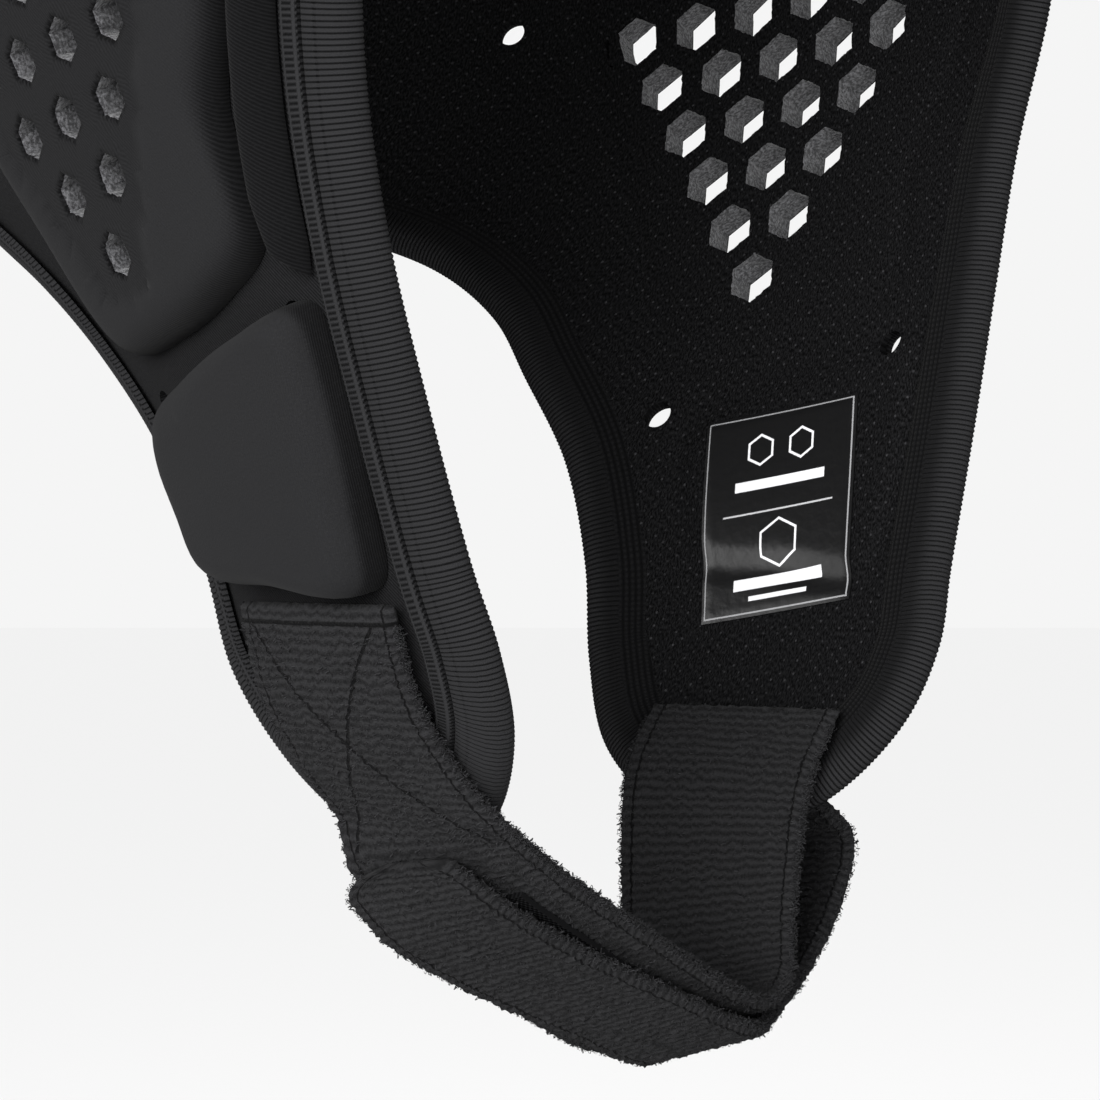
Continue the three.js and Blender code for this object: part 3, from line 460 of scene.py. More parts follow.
def open_vents(bm, radius):
    """Takes out the faces inside each round vent and draws the corners left there out to its edge."""
    bm.verts.index_update()
    plan = corners_of(bm)
    points = base(np.hypot(plan[:, 0], plan[:, 1]), np.arctan2(plan[:, 1], plan[:, 0]))
    close = np.min([np.hypot(points[:, 1] - y, points[:, 2] - z) for y, z in VENTS], axis=0) < 4.5
    edges = [e for e in bm.edges if any(close[v.index] for v in e.verts)]
    bmesh.ops.subdivide_edges(bm, edges=edges, cuts=3, use_grid_fill=True)
    plan = corners_of(bm)
    turn = np.arctan2(plan[:, 1], plan[:, 0])
    points = base(np.hypot(plan[:, 0], plan[:, 1]), turn)
    inner = np.zeros(len(plan), bool)
    for y, z in VENTS:
        offset = points[:, 1:] - (y, z)
        near = np.linalg.norm(offset, axis=1)
        within = near < radius
        inner |= within
        edge = (y, z) + offset[within] / near[within, None] * radius
        level, angle = side_place(edge[:, 0], edge[:, 1])
        angle = np.where(points[within, 0] < 0, math.pi - angle, angle)
        plan[within, 0] = level * np.cos(angle)
        plan[within, 1] = level * np.sin(angle)
    bm.verts.ensure_lookup_table()
    bm.verts.index_update()
    gone = [f for f in bm.faces if all(inner[v.index] for v in f.verts)]
    for vert, place, moved in zip(bm.verts, plan, inner):
        if moved:
            vert.co.xy = place[:2]
    bmesh.ops.delete(bm, geom=gone, context="FACES")


def polar_map(plan, height):
    level = np.hypot(plan[:, 0], plan[:, 1])
    return form(level, np.arctan2(plan[:, 1], plan[:, 0]), height)


def polar_uv(plan):
    """Level lines and turns measured in millimetres on the sides."""
    level = np.hypot(plan[:, 0], plan[:, 1])
    turn = np.arctan2(plan[:, 1], plan[:, 0])
    points = base(level, turn)
    return np.column_stack([points[:, 1], points[:, 2]])


def build_shell(settings):
    bm = dome_grid(0.0155, 3.2, 5.7, 2.5)
    thicken(bm, SHELL_OUTER - SHELL_INNER)

    def mapping(plan):
        return polar_map(plan, np.where(plan[:, 2] > -0.5, SHELL_OUTER, SHELL_INNER))

    obj = finish_mesh("Stretch shell", bm, mapping, uv=polar_uv, slots=[cloth_material(settings)])
    return declare(obj, "shell", "stretch_cloth", "sheet", flat=(0.56, 0.52), held="stretched", area=0.1)


def build_lining(settings):
    bm = dome_grid(0.0155, 3.2, 5.7, 2.1)
    thicken(bm, 1.0)

    def mapping(plan):
        points = polar_map(plan, 0)
        inner = -relief(points[:, 1], points[:, 2])
        return polar_map(plan, np.where(plan[:, 2] > -0.5, 1.0, inner))

    obj = finish_mesh("Mesh lining", bm, mapping, uv=polar_uv, slots=[lining_material(settings)])
    return declare(obj, "lining", "mesh_lining", "sheet", flat=(0.56, 0.52), held="stretched", area=0.1)


# Pads

def pad_plan(outline, half, spacing, holes=(), roll=5.5, rings=12, seams=()):
    """A flat pad in plan with rounded rings outside, and rings round each hole given as six corners."""
    bm = bmesh.new()
    inset = 1 - roll / np.array(half)
    edge = [bm.verts.new((a * inset[0], b * inset[1], 0)) for a, b in outline]
    lines = [bm.edges.new((edge[i], edge[(i + 1) % len(edge)])) for i in range(len(edge))]
    for centre, hexagon in holes:
        wide = [centre + (np.array(p) - centre) * (5.5 / 4) for p in hexagon]
        made = bmesh.ops.create_circle(bm, cap_ends=False, radius=1, segments=24)["verts"]
        for i, vert in enumerate(made):
            place = wide[i // 4] + (wide[(i // 4 + 1) % 6] - wide[i // 4]) * (i % 4) / 4
            vert.co = (place[0], place[1], 0)
        lines += list({e for v in made for e in v.link_edges})
    bmesh.ops.triangle_fill(bm, edges=lines, use_beauty=True)
    low = np.min(outline, axis=0)
    high = np.max(outline, axis=0)
    for axis in (0, 1):
        for value in np.arange(low[axis] + spacing, high[axis], spacing):
            where = [0, 0, 0]
            facing = [0, 0, 0]
            where[axis] = value
            facing[axis] = 1
            bmesh.ops.bisect_plane(bm, geom=[*bm.verts, *bm.edges, *bm.faces], plane_co=where, plane_no=facing)
    rims = [e for e in bm.edges if len(e.link_faces) == 1]
    hole_rims = {}
    outer = []
    middles = np.array([((e.verts[0].co + e.verts[1].co) / 2)[:2] for e in rims])
    near, _ = hole_depth(middles, holes)
    for item, middle, gap in zip(rims, middles, near):
        if gap > 1.6:
            outer.append(item)
        else:
            found = int(np.argmin([np.hypot(*(middle - centre)) for centre, _ in holes]))
            hole_rims.setdefault(found, []).append(item)
    now = inset
    for step in range(1, rings + 1):
        angle = math.pi / 2 * step / rings
        target = 1 - roll * (1 - math.sin(angle)) / np.array(half)
        grown = bmesh.ops.extrude_edge_only(bm, edges=outer)["geom"]
        for vert in (g for g in grown if isinstance(g, bmesh.types.BMVert)):
            vert.co.x *= target[0] / now[0]
            vert.co.y *= target[1] / now[1]
        outer = [g for g in grown if isinstance(g, bmesh.types.BMEdge)
                 and len(g.link_faces) == 1]
        now = target
    for k, loop in hole_rims.items():
        centre = Vector((*holes[k][0], 0))
        before = 5.5
        for offset in (1.0, 0.6, 0.3, 0.1, 0.0):
            grown = bmesh.ops.extrude_edge_only(bm, edges=loop)["geom"]
            for vert in (g for g in grown if isinstance(g, bmesh.types.BMVert)):
                vert.co = centre + (vert.co - centre) * ((4 + offset) / before)
            loop = [g for g in grown if isinstance(g, bmesh.types.BMEdge) and len(g.link_faces) == 1]
            before = 4 + offset
    for seam in seams:
        for a, b in zip(seam, np.roll(seam, -1, axis=0)):
            bmesh.ops.bisect_plane(bm, geom=[*bm.verts, *bm.edges, *bm.faces], plane_co=(*a, 0),
                                   plane_no=(b[1] - a[1], a[0] - b[0], 0))
    return bm


def ring_lift(plan, half, roll, outline):
    """Share of a pad's height at its plan corners, from the outline's own rounded edge."""
    edge = np.asarray(outline)
    angle = np.unwrap(np.arctan2(edge[:, 1] / half[1], edge[:, 0] / half[0]))
    if angle[-1] < angle[0]:
        angle, edge = angle[::-1], edge[::-1]
    turn = np.arctan2(plan[:, 1] / half[1], plan[:, 0] / half[0])
    turn = angle[0] + (turn - angle[0]) % (2 * math.pi)
    circle = np.append(angle, angle[0] + 2 * math.pi)
    reach = [np.interp(turn, circle, np.append(edge[:, k], edge[0, k])) for k in (0, 1)]
    own = np.hypot(plan[:, 0] / half[0], plan[:, 1] / half[1])
    whole = np.hypot(reach[0] / half[0], reach[1] / half[1])
    size = (half[0] + half[1]) / 2 * (whole ** 0.5)
    depth = np.clip((whole - own) * size / roll, 0, 1)
    return (1 - (1 - depth) ** 2.3) ** (1 / 2.3), depth


def hexagons():
    found = []
    for y, z in hole_places():
        point, across, up = cloth_axes(y, z, HOLE_LEAN)
        corners = []
        for k in range(6):
            angle = math.radians(60 * k)
            corner = point + across * HOLE_RADIUS * math.sin(angle) + up * HOLE_RADIUS * math.cos(angle)
            corners.append(corner[1:] - np.array(EAR["middle"]))
        found.append((point[1:] - np.array(EAR["middle"]), corners))
    return found


def hole_depth(plan, holes):
    """Distance outside the nearest hexagon, by scaled rings, and the way in to its middle."""
    best = np.full(len(plan), 99.0)
    way = np.zeros((len(plan), 2))
    for centre, corners in holes:
        offset = plan[:, :2] - centre
        worst = np.full(len(plan), -99.0)
        for a, b in zip(corners, np.roll(corners, -1, axis=0)):
            middle = (a + b) / 2 - centre
            out = unit(np.array([b[1] - a[1], a[0] - b[0]]))
            out = out * np.sign(out @ middle)
            worst = np.maximum(worst, offset @ out / (out @ middle) * 4 - 4)
        nearer = worst < best
        best = np.where(nearer, worst, best)
        way[nearer] = -offset[nearer] / 4
    return best, way


def build_ear_pad(name, hand, settings):
    half = EAR["size"]
    thick = EAR["thick"]
    holes = hexagons()
    outline = closed_outline(EAR, 132)
    middle = np.array(EAR["middle"])
    seams = [window_corners(12.0 + gap, 9.0 + gap) - middle for gap in (0.0, 0.3)]
    bm = pad_plan(outline, half, 2.6, holes, roll=7.0, seams=seams)
    plan = corners_of(bm)
    lift, _ = ring_lift(plan, half, 7.0, outline)
    near, _ = hole_depth(plan, holes)
    drop = 0.45 * (1 - np.sqrt(np.clip(1 - (1 - np.clip(near / 0.6, 0, 1)) ** 2, 0, 1)))
    field = window_corners(6.0, 6.0) - middle
    sunk = settings.field_dish * (1.0 if hand > 0 else 0.4)
    dish = sunk * smooth_step(np.where(inside_polygon(plan[:, :2], field), 9 - near, 5.2 - near), 0, 5)
    window = window_corners(12.05, 9.05) - middle
    bm.verts.ensure_lookup_table()
    for vert, rise, down, low in zip(bm.verts, lift, drop, dish):
        vert.co.z = PAD_SEAT + thick * rise - down - low * rise
    bottom = {}
    within = inside_polygon(plan[:, :2], window)
    swell = relief(plan[:, 0] + middle[0], plan[:, 1] + middle[1])
    for vert, flag, deep in zip(bm.verts, within, swell):
        bottom[vert.co.to_tuple(4)] = (-0.06 - deep) if flag else PAD_SEAT - 0.05
    thicken(bm, lambda co: bottom.get(co.to_tuple(4), PAD_SEAT - 0.05))
    walls = [e for e in bm.edges if abs(e.verts[0].co.z - e.verts[1].co.z) > 2
             and (e.verts[0].co.xy - e.verts[1].co.xy).length < 1e-3]
    bmesh.ops.subdivide_edges(bm, edges=walls, cuts=5, use_grid_fill=True)
    centres = np.array([f.calc_center_median()[:] for f in bm.faces])
    inner, _ = hole_depth(centres, holes)
    for face, depth in zip(bm.faces, inner):
        steep = max(v.co.z for v in face.verts) - min(v.co.z for v in face.verts)
        if depth < 0.05 and steep > 0.8:
            face.material_index = 1
        elif face.calc_center_median().z < PAD_SEAT - 1:
            face.material_index = 2

    def mapping(plan):
        rng = np.random.default_rng(7)
        near, way = hole_depth(plan, holes)
        rough = np.where((near < 0.03) & (plan[:, 2] > -0.6), 1.0, 0.0)
        taper = settings.hole_taper if hand < 0 else -0.7
        narrow = taper * np.clip(1 - near / 1.5, 0, 1) * smooth_step(plan[:, 2], 0.0, 7.5)
        shaken = plan[:, :2] + rng.normal(0, 0.08, (len(plan), 2)) * rough[:, None] + way * narrow[:, None]
        return side(shaken[:, 0] + middle[0], shaken[:, 1] + middle[1], plan[:, 2], hand)

    label = "Ear pad left" if hand > 0 else "Ear pad right"
    obj = finish_mesh(label, bm, mapping, uv=lambda p: p[:, :2] + middle,
                      slots=[pad_material(settings, "diagonal"), foam_material(settings), lining_material(settings)],
                      rim=lambda p: 1 - smooth_step(hole_depth(p, holes)[0], 0.1, 0.7))
    return declare(obj, name, "pad_cloth", "padded")


def simple_pad(label, name, outline, half, spacing, mapping, thick, settings, roll=5.5, ribs="level"):
    bm = pad_plan(outline, half, spacing, roll=roll, rings=10)
    plan = corners_of(bm)
    lift, depth = ring_lift(plan, half, roll, outline)
    bm.verts.ensure_lookup_table()
    own = np.hypot(plan[:, 0] / half[0], plan[:, 1] / half[1])
    rise = thick * lift + 0.5 * np.clip(1 - own ** 2, 0, 1)
    for vert, up in zip(bm.verts, rise):
        vert.co.z = PAD_SEAT + up
    thicken(bm, lambda co: PAD_SEAT - 0.1)
    obj = finish_mesh(label, bm, mapping, slots=[pad_material(settings, ribs)])
    return declare(obj, name, "pad_cloth", "padded")


def build_jaw_pad(name, hand, settings):
    middle = np.array(JAW["middle"])

    vent = VENTS[1] - middle
    back = unit(-vent)

    def mapping(plan):
        places = plan[:, :2]
        if hand > 0:
            near = np.linalg.norm(places - vent, axis=1)
            places = places + back * (8.0 * np.exp(-(near / 9.0) ** 2))[:, None]
        return side(places[:, 0] + middle[0], places[:, 1] + middle[1], plan[:, 2], hand)

    label = "Jaw pad left" if hand > 0 else "Jaw pad right"
    return simple_pad(label, name, closed_outline(JAW, 110), JAW["size"], 1.8, mapping, JAW["thick"],
                      settings, roll=6.0, ribs="upright")


def build_plain_pad(name, row, settings):
    turn, half_turn, top, foot = row
    middle = (top + foot) / 2
    wide = 84.0 * math.sin(min(middle, 1.0) * math.pi / 2)
    tall = 157.0 if middle < 1 else 173.0
    half = (math.radians(half_turn) * wide, (foot - top) / 2 * tall)
    angle = np.linspace(0, 2 * math.pi, 88, endpoint=False)
    outline = np.column_stack([
        half[0] * np.sign(np.cos(angle)) * np.abs(np.cos(angle)) ** 0.55,
        half[1] * np.sign(np.sin(angle)) * np.abs(np.sin(angle)) ** 0.55])

    def mapping(plan):
        return form(middle + plan[:, 1] / tall, math.radians(turn) + plan[:, 0] / wide, plan[:, 2])

    label = name.replace("_", " ").capitalize()
    return simple_pad(label, name, outline, half, 3.2, mapping, 8.0, settings, roll=5.0)


def build_top_pad(settings):
    reach = 0.215 * 157
    angle = np.linspace(0, 2 * math.pi, 72, endpoint=False)
    wave = 1 - 0.035 * (1 - np.cos(6 * angle))
    outline = np.column_stack([reach * wave * np.cos(angle), reach * wave * np.sin(angle)])

    def mapping(plan):
        return form(np.hypot(plan[:, 0], plan[:, 1]) / 157, np.arctan2(plan[:, 1], plan[:, 0]), plan[:, 2])

    return simple_pad("Crown top pad", "crown_top_pad", outline, (reach, reach), 3.2, mapping, 8.0, settings)


def build_front_pad(name, hand, settings):
    along, across = 150, 16
    bm = bmesh.new()
    bmesh.ops.create_grid(bm, x_segments=along, y_segments=across, size=0.5)
    place = np.linspace(0, 1, len(FRONT_LINE))
    for vert in bm.verts:
        s = vert.co.y + 0.5
        t = vert.co.x + 0.5
        full = float(np.interp(t, place, FRONT_LINE[:, 2]))
        full = math.sin(min(full, 1) * math.pi / 2)
        ease = max(0.0, min(1.0, s))
        slope = math.sin(math.pi / 2 * min(ease / 0.72, 1)) ** 0.8
        back = math.sqrt(max(0.0, 1 - max(0.0, (ease - 0.62) / 0.38) ** 2.4))
        vert.co.z = full * 4.9 * slope * back
    thicken(bm, lambda co: -0.15)
    foot = BINDING_WIDTH + 0.6

    def spread(plan):
        t = np.clip(plan[:, 0] + 0.5, 0, 1)
        return t, np.interp(t, place, FRONT_LINE[:, 0]), np.interp(t, place, FRONT_LINE[:, 1])

    def mapping(plan):
        t, share, behind = spread(plan)
        full = np.interp(t, place, FRONT_LINE[:, 2])
        point, normal, inward = rim_frame(share / 2)
        off = behind + 0.4 * full * (plan[:, 1] * 2)
        points = point + inward * (foot + off * 8)[:, None] + normal * (PAD_SEAT - BINDING_MID + plan[:, 2])[:, None]
        points[:, 0] *= hand
        return points

    def uv(plan):
        points = mapping(plan)
        return points[:, 1:]

    label = "Front pad left" if hand > 0 else "Front pad right"
    obj = finish_mesh(label, bm, mapping, uv=uv, slots=[pad_material(settings, "diagonal")])
    return declare(obj, name, "pad_cloth", "padded")


# Binding

BINDING_SECTION = np.array([
    (10.9, 1.35), (10.85, 2.3), (10.2, 2.75), (8.6, 2.74), (7.75, 2.62), (7.35, 2.20), (6.95, 2.64),
    (5.6, 2.86), (3.6, 2.84), (1.8, 2.60), (0.2, 1.85), (-0.75, 0.75), (-0.95, 0.0), (-0.75, -0.75),
    (0.2, -1.85), (1.8, -2.62), (5.0, -2.85), (9.4, -2.70), (10.8, -2.2), (10.9, -1.45),
])


def build_binding(settings):
    ribs = int(RIM_LENGTH / 0.8)
    along = ribs * 2
    run = np.concatenate([[0], np.cumsum(np.linalg.norm(np.diff(BINDING_SECTION, axis=0), axis=1))])
    across = len(BINDING_SECTION) - 1
    bm = bmesh.new()
    bmesh.ops.create_grid(bm, x_segments=along, y_segments=across, size=0.5)
    bmesh.ops.transform(bm, matrix=scale_matrix(along, across), verts=bm.verts)
    thicken(bm, 1.0)
    bmesh.ops.remove_doubles(bm, verts=bm.verts, dist=1e-5)
    way = np.gradient(BINDING_SECTION, axis=0)
    out = unit(np.column_stack([-way[:, 1], way[:, 0]]))
    if out[7, 1] < 0:
        out = -out

    def mapping(plan):
        station = np.round(plan[:, 0]).astype(int)
        k = np.clip(np.round(plan[:, 1]).astype(int), 0, across)
        point, normal, inward = rim_frame((station % along) / along)
        rib = np.where(station % 2 == 0, 0.10, -0.10) * np.where((k >= 7) & (k <= 15), 1.0, 0.35)
        depth = np.where(plan[:, 2] < -0.5, -0.6, rib)
        place = BINDING_SECTION[k] + out[k] * depth[:, None]
        return point + inward * place[:, :1] + normal * place[:, 1:]

    def uv(plan):
        k = np.clip(np.round(plan[:, 1]).astype(int), 0, across)
        return np.column_stack([plan[:, 0] * RIM_LENGTH / along, run[k]])

    obj = finish_mesh("Edge binding", bm, mapping, uv=uv, slots=[binding_material(settings)])
    bm = bmesh.new()
    bm.from_mesh(obj.data)
    bmesh.ops.remove_doubles(bm, verts=bm.verts, dist=1e-7)
    bm.to_mesh(obj.data)
    bm.free()
    return declare(obj, "edge_binding", "binding_tape", "sheet", flat=(0.031, RIM_LENGTH * MM), held="folded")


def scale_matrix(x, y):
    from mathutils import Matrix
    return Matrix.Translation((x / 2, y / 2, 0)) @ Matrix.Diagonal((x, y, 1, 1))


# Straps

ACROSS = np.array([-1, -0.5, 0, 0.5, 1])


def flap_station(row, width, height, hand):
    back, drop, _ = row
    level, turn = side_place(np.array([BACK_REACH * back]), np.array([WIDEST_Z - FLAP_DROP * drop]))
    here = form(level, turn, height)[0]
    stretch = np.linalg.norm(form(level, turn + 0.01, height)[0] - here) / 0.01
    turns = turn[0] + ACROSS * width / 2 / stretch
    points = form(np.repeat(level, 5), turns, height)
    points[:, 0] *= hand
    return points


def free_station(row, width):
    across, back, below, tilt = row
    flap_end = WIDEST_Z - FLAP_DROP * 0.982
    middle = np.array([HALF_WIDTH * across, BACK_REACH * back, flap_end - CHIN_DROP * below])
    way = np.array([0, math.cos(math.radians(tilt)), -math.sin(math.radians(tilt))])
    return middle + ACROSS[:, None] * way * width / 2


def height_outside(over):
    return 3.6 + (5.1 - 3.6) * over + STRAP_THICKNESS / 2


def height_inside(under):
    return -0.8 + (-2.1 + 0.8) * under - STRAP_THICKNESS / 2


def strap_spot(stations, along, across, smooth=True):
    """Point and normal of a strap's middle surface. stations has five points in each row."""
    stations = np.asarray(stations)
    along = np.clip(along, 0, 1)
    lines = np.stack([spline(stations[:, k], along, False) for k in range(5)], axis=1)
    ahead = np.stack([spline(stations[:, k], np.minimum(along + 0.004, 1), False) for k in range(5)], axis=1)
    behind = np.stack([spline(stations[:, k], np.maximum(along - 0.004, 0), False) for k in range(5)], axis=1)

    def blend(rows, place):
        weights = []
        for k in range(5):
            w = np.ones(len(place))
            for j in range(5):
                if j != k:
                    w = w * (place - ACROSS[j]) / (ACROSS[k] - ACROSS[j])
            weights.append(w)
        return np.einsum("nk,nkd->nd", np.stack(weights, axis=1), rows)

    point = blend(lines, across)
    forward = blend(ahead, across) - blend(behind, across)
    rearward = blend(lines, np.minimum(across + 0.02, 1.02)) - blend(lines, across - 0.02)
    return point, unit(np.cross(forward, rearward))


CHIN_STATIONS = np.array(
    [flap_station(r, 38, height_outside(r[2]), -1) for r in RIGHT_ON_FLAP]
    + [free_station(r, 38) for r in CHIN_RUN]
    + [flap_station(r, 38, height_inside(r[2]), 1) for r in RIGHT_INSIDE])


def chin_share(row):
    return (len(RIGHT_ON_FLAP) + row) / (len(CHIN_STATIONS) - 1)


OUTSIDE = 1 if strap_spot(CHIN_STATIONS, np.array([chin_share(3)]), np.array([0.0]))[1][0, 2] < 0 else -1


def tip_station(row):
    place, front, rear = row
    across = (rear + front) / 2 + ACROSS * (rear - front) / 2
    point, normal = strap_spot(CHIN_STATIONS, np.full(5, chin_share(place)), across)
    return point + normal * OUTSIDE * LEFT_HEIGHT


LEFT_STATIONS = np.array(
    [flap_station(r, 30, height_outside(r[2]), 1) for r in LEFT_ON_FLAP]
    + [free_station(r, 30) for r in LEFT_RUN]
    + [tip_station(r) for r in TIP_RUN])


def strap_length(stations):
    line = spline(np.asarray(stations)[:, 2], np.linspace(0, 1, 400), False)
    return np.concatenate([[0], np.cumsum(np.linalg.norm(np.diff(line, axis=0), axis=1))])


def build_strap(label, name, stations, width, seed, loop_count, loop_seed, settings):
    run = strap_length(stations)
    length = run[-1]
    along = int(length / 0.55)
    across = int(width / 0.85)
    bm = bmesh.new()
    bmesh.ops.create_grid(bm, x_segments=along, y_segments=across, size=0.5)
    bmesh.ops.transform(bm, matrix=scale_matrix(length, width), verts=bm.verts)
    half = STRAP_THICKNESS / 2
    plan = corners_of(bm)
    edge = np.minimum.reduce([plan[:, 0], length - plan[:, 0], plan[:, 1], width - plan[:, 1]])
    rise = 0.12 + (half - 0.12) * np.sqrt(np.clip(1 - (1 - np.clip(edge / 1.3, 0, 1)) ** 2, 0, 1))
    bm.verts.ensure_lookup_table()
    for vert, up in zip(bm.verts, rise):
        vert.co.z = up
    thicken(bm, lambda co: -co.z)
    rng = np.random.default_rng(seed)
    phase = rng.normal(0, 1.1, 64)

    def mapping(plan):
        t = np.interp(plan[:, 0], run, np.linspace(0, 1, len(run)))
        share = np.clip(plan[:, 1] / width * 2 - 1, -1, 1)
        point, normal = strap_spot(stations, t, share)
        wander = np.interp(plan[:, 1], np.linspace(0, width, 64), phase)
        rows = 0.16 * np.sin(2 * math.pi * plan[:, 0] / 1.4 + wander)
        flat = 1 - np.exp(-((plan[:, 0] - 2) / 1.5) ** 2)
        rough = (rows + rng.normal(0, 0.14, len(plan))) * flat
        sign = np.sign(plan[:, 2])
        height = plan[:, 2] + sign * rough
        return point + normal * height[:, None]

    obj = finish_mesh(label, bm, mapping, slots=[terry_material(settings, label, length, width)])
    loops = build_loops(label + " loops", stations, run, length, width, loop_count, loop_seed, settings)
    return declare(obj, name, "terry_strap", "sheet", flat=(width * MM, length * MM), held="stretched",
                   with_pieces=[loops])


def build_loops(label, stations, run, length, width, count, seed, settings):
    """Small terry loops standing over a strap's faces and edges."""
    steps = 4
    bm = bmesh.new()
    bmesh.ops.create_grid(bm, x_segments=count * (steps + 1), y_segments=1, size=0.5)
    bmesh.ops.transform(bm, matrix=scale_matrix(count * (steps + 1), 1), verts=bm.verts)
    gone = [f for f in bm.faces if int(f.calc_center_median().x) % (steps + 1) == steps]
    bmesh.ops.delete(bm, geom=gone, context="FACES")
    rng = np.random.default_rng(seed)
    edge = rng.random(count) < 0.42
    place = rng.random(count) * (length - 6) + 3
    share = np.where(edge, np.sign(rng.random(count) - 0.5) * (1.0 - rng.random(count) * 0.02),
                     rng.random(count) * 1.96 - 0.98)
    face = np.where(rng.random(count) < 0.6, OUTSIDE, -OUTSIDE).astype(float)
    lean = rng.random(count) * 2 * math.pi
    tall = 0.35 + 0.5 * rng.random(count)
    wide = 0.35 + 0.35 * rng.random(count)

    def mapping(plan):
        loop = np.minimum(((plan[:, 0] + 0.3) / (steps + 1)).astype(int), count - 1)
        local = (plan[:, 0] - loop * (steps + 1)) / steps
        t = np.interp(place, run, np.linspace(0, 1, len(run)))
        point, normal = strap_spot(stations, t, share)
        ahead, _ = strap_spot(stations, np.minimum(t + 0.003, 1), share)
        forward = unit(ahead - point)
        sideways = unit(np.cross(normal, forward))
        out_way = np.where(edge[:, None], -sideways * np.sign(share)[:, None], normal * face[:, None])
        check = np.sum((strap_spot(stations, t, share * 0.9)[0] - point) * out_way, axis=1)
        out_way = np.where((edge & (check > 0))[:, None], -out_way, out_way)
        up = unit(out_way + 0.45 * rng.normal(0, 1, out_way.shape))
        other = normal * face[:, None]
        start = np.where(edge[:, None], point + normal * (rng.random(count) - 0.5)[:, None] * 1.6,
                         point + other * (STRAP_THICKNESS / 2 - 0.1))
        level = unit(np.cross(up, forward * np.cos(lean)[:, None] + normal * np.sin(lean)[:, None]))
        arch = 4 * local * (1 - local)
        thread = unit(np.cross(level, up))[loop] * ((plan[:, 1] - 0.5) * 0.13)[:, None]
        return (start[loop] + up[loop] * (arch * tall[loop] - 0.1)[:, None]
                + level[loop] * ((local - 0.5) * wide[loop])[:, None] + thread)

    obj = finish_mesh(label, bm, mapping, slots=[loop_material(settings)])
    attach(obj, "root")
    return obj


def build_hook_tape(settings):
    reach = strap_length(CHIN_STATIONS)
    low, high = chin_share(3.8), chin_share(0.9)
    shares = np.linspace(0, 1, len(reach))
    length = abs(np.interp(low, shares, reach) - np.interp(high, shares, reach))
    bm = bmesh.new()
    bmesh.ops.create_grid(bm, x_segments=90, y_segments=26, size=0.5)
    bmesh.ops.transform(bm, matrix=scale_matrix(length, 25), verts=bm.verts)
    bmesh.ops.translate(bm, verts=bm.verts, vec=(0, 0, 0.45))
    thicken(bm, 0.9)

    def mapping(plan):
        t = low + (high - low) * plan[:, 0] / length
        across = 0.08 + (plan[:, 1] / 25 * 2 - 1) * 25 / 38
        point, normal = strap_spot(CHIN_STATIONS, t, across)
        return point + normal * (OUTSIDE * (HOOK_HEIGHT + plan[:, 2]))[:, None]

    obj = finish_mesh("Hook tape", bm, mapping, slots=[tape_material(settings)])
    return declare(obj, "hook_tape", "hook_tape", "sheet", flat=(0.025, length * MM), held="folded")


def build_label(settings):
    width, height = settings.label_width, 35.0
    point, across, up = cloth_axes(-21.0, -221.7, math.radians(9))
    bm = bmesh.new()
    bmesh.ops.create_grid(bm, x_segments=28, y_segments=34, size=0.5)
    bmesh.ops.transform(bm, matrix=scale_matrix(width, height), verts=bm.verts)
    thicken(bm, 1.0)

    def mapping(plan):
        spot = point + across * (plan[:, :1] - width / 2) + up * (plan[:, 1:2] - height / 2)
        deep = -0.22 - relief(spot[:, 1], spot[:, 2])
        edge = np.minimum.reduce([plan[:, 0], width - plan[:, 0], plan[:, 1], height - plan[:, 1]])
        film = 0.42 * np.clip(edge / 0.6, 0.4, 1)
        return side(spot[:, 1], spot[:, 2], np.where(plan[:, 2] > -0.5, deep - film, deep))

    obj = finish_mesh("Label", bm, mapping, slots=[label_material(settings, width, height)])
    return declare(obj, "label", "label_film", "sheet", flat=(width * MM, height * MM), held="stretched")


# Materials

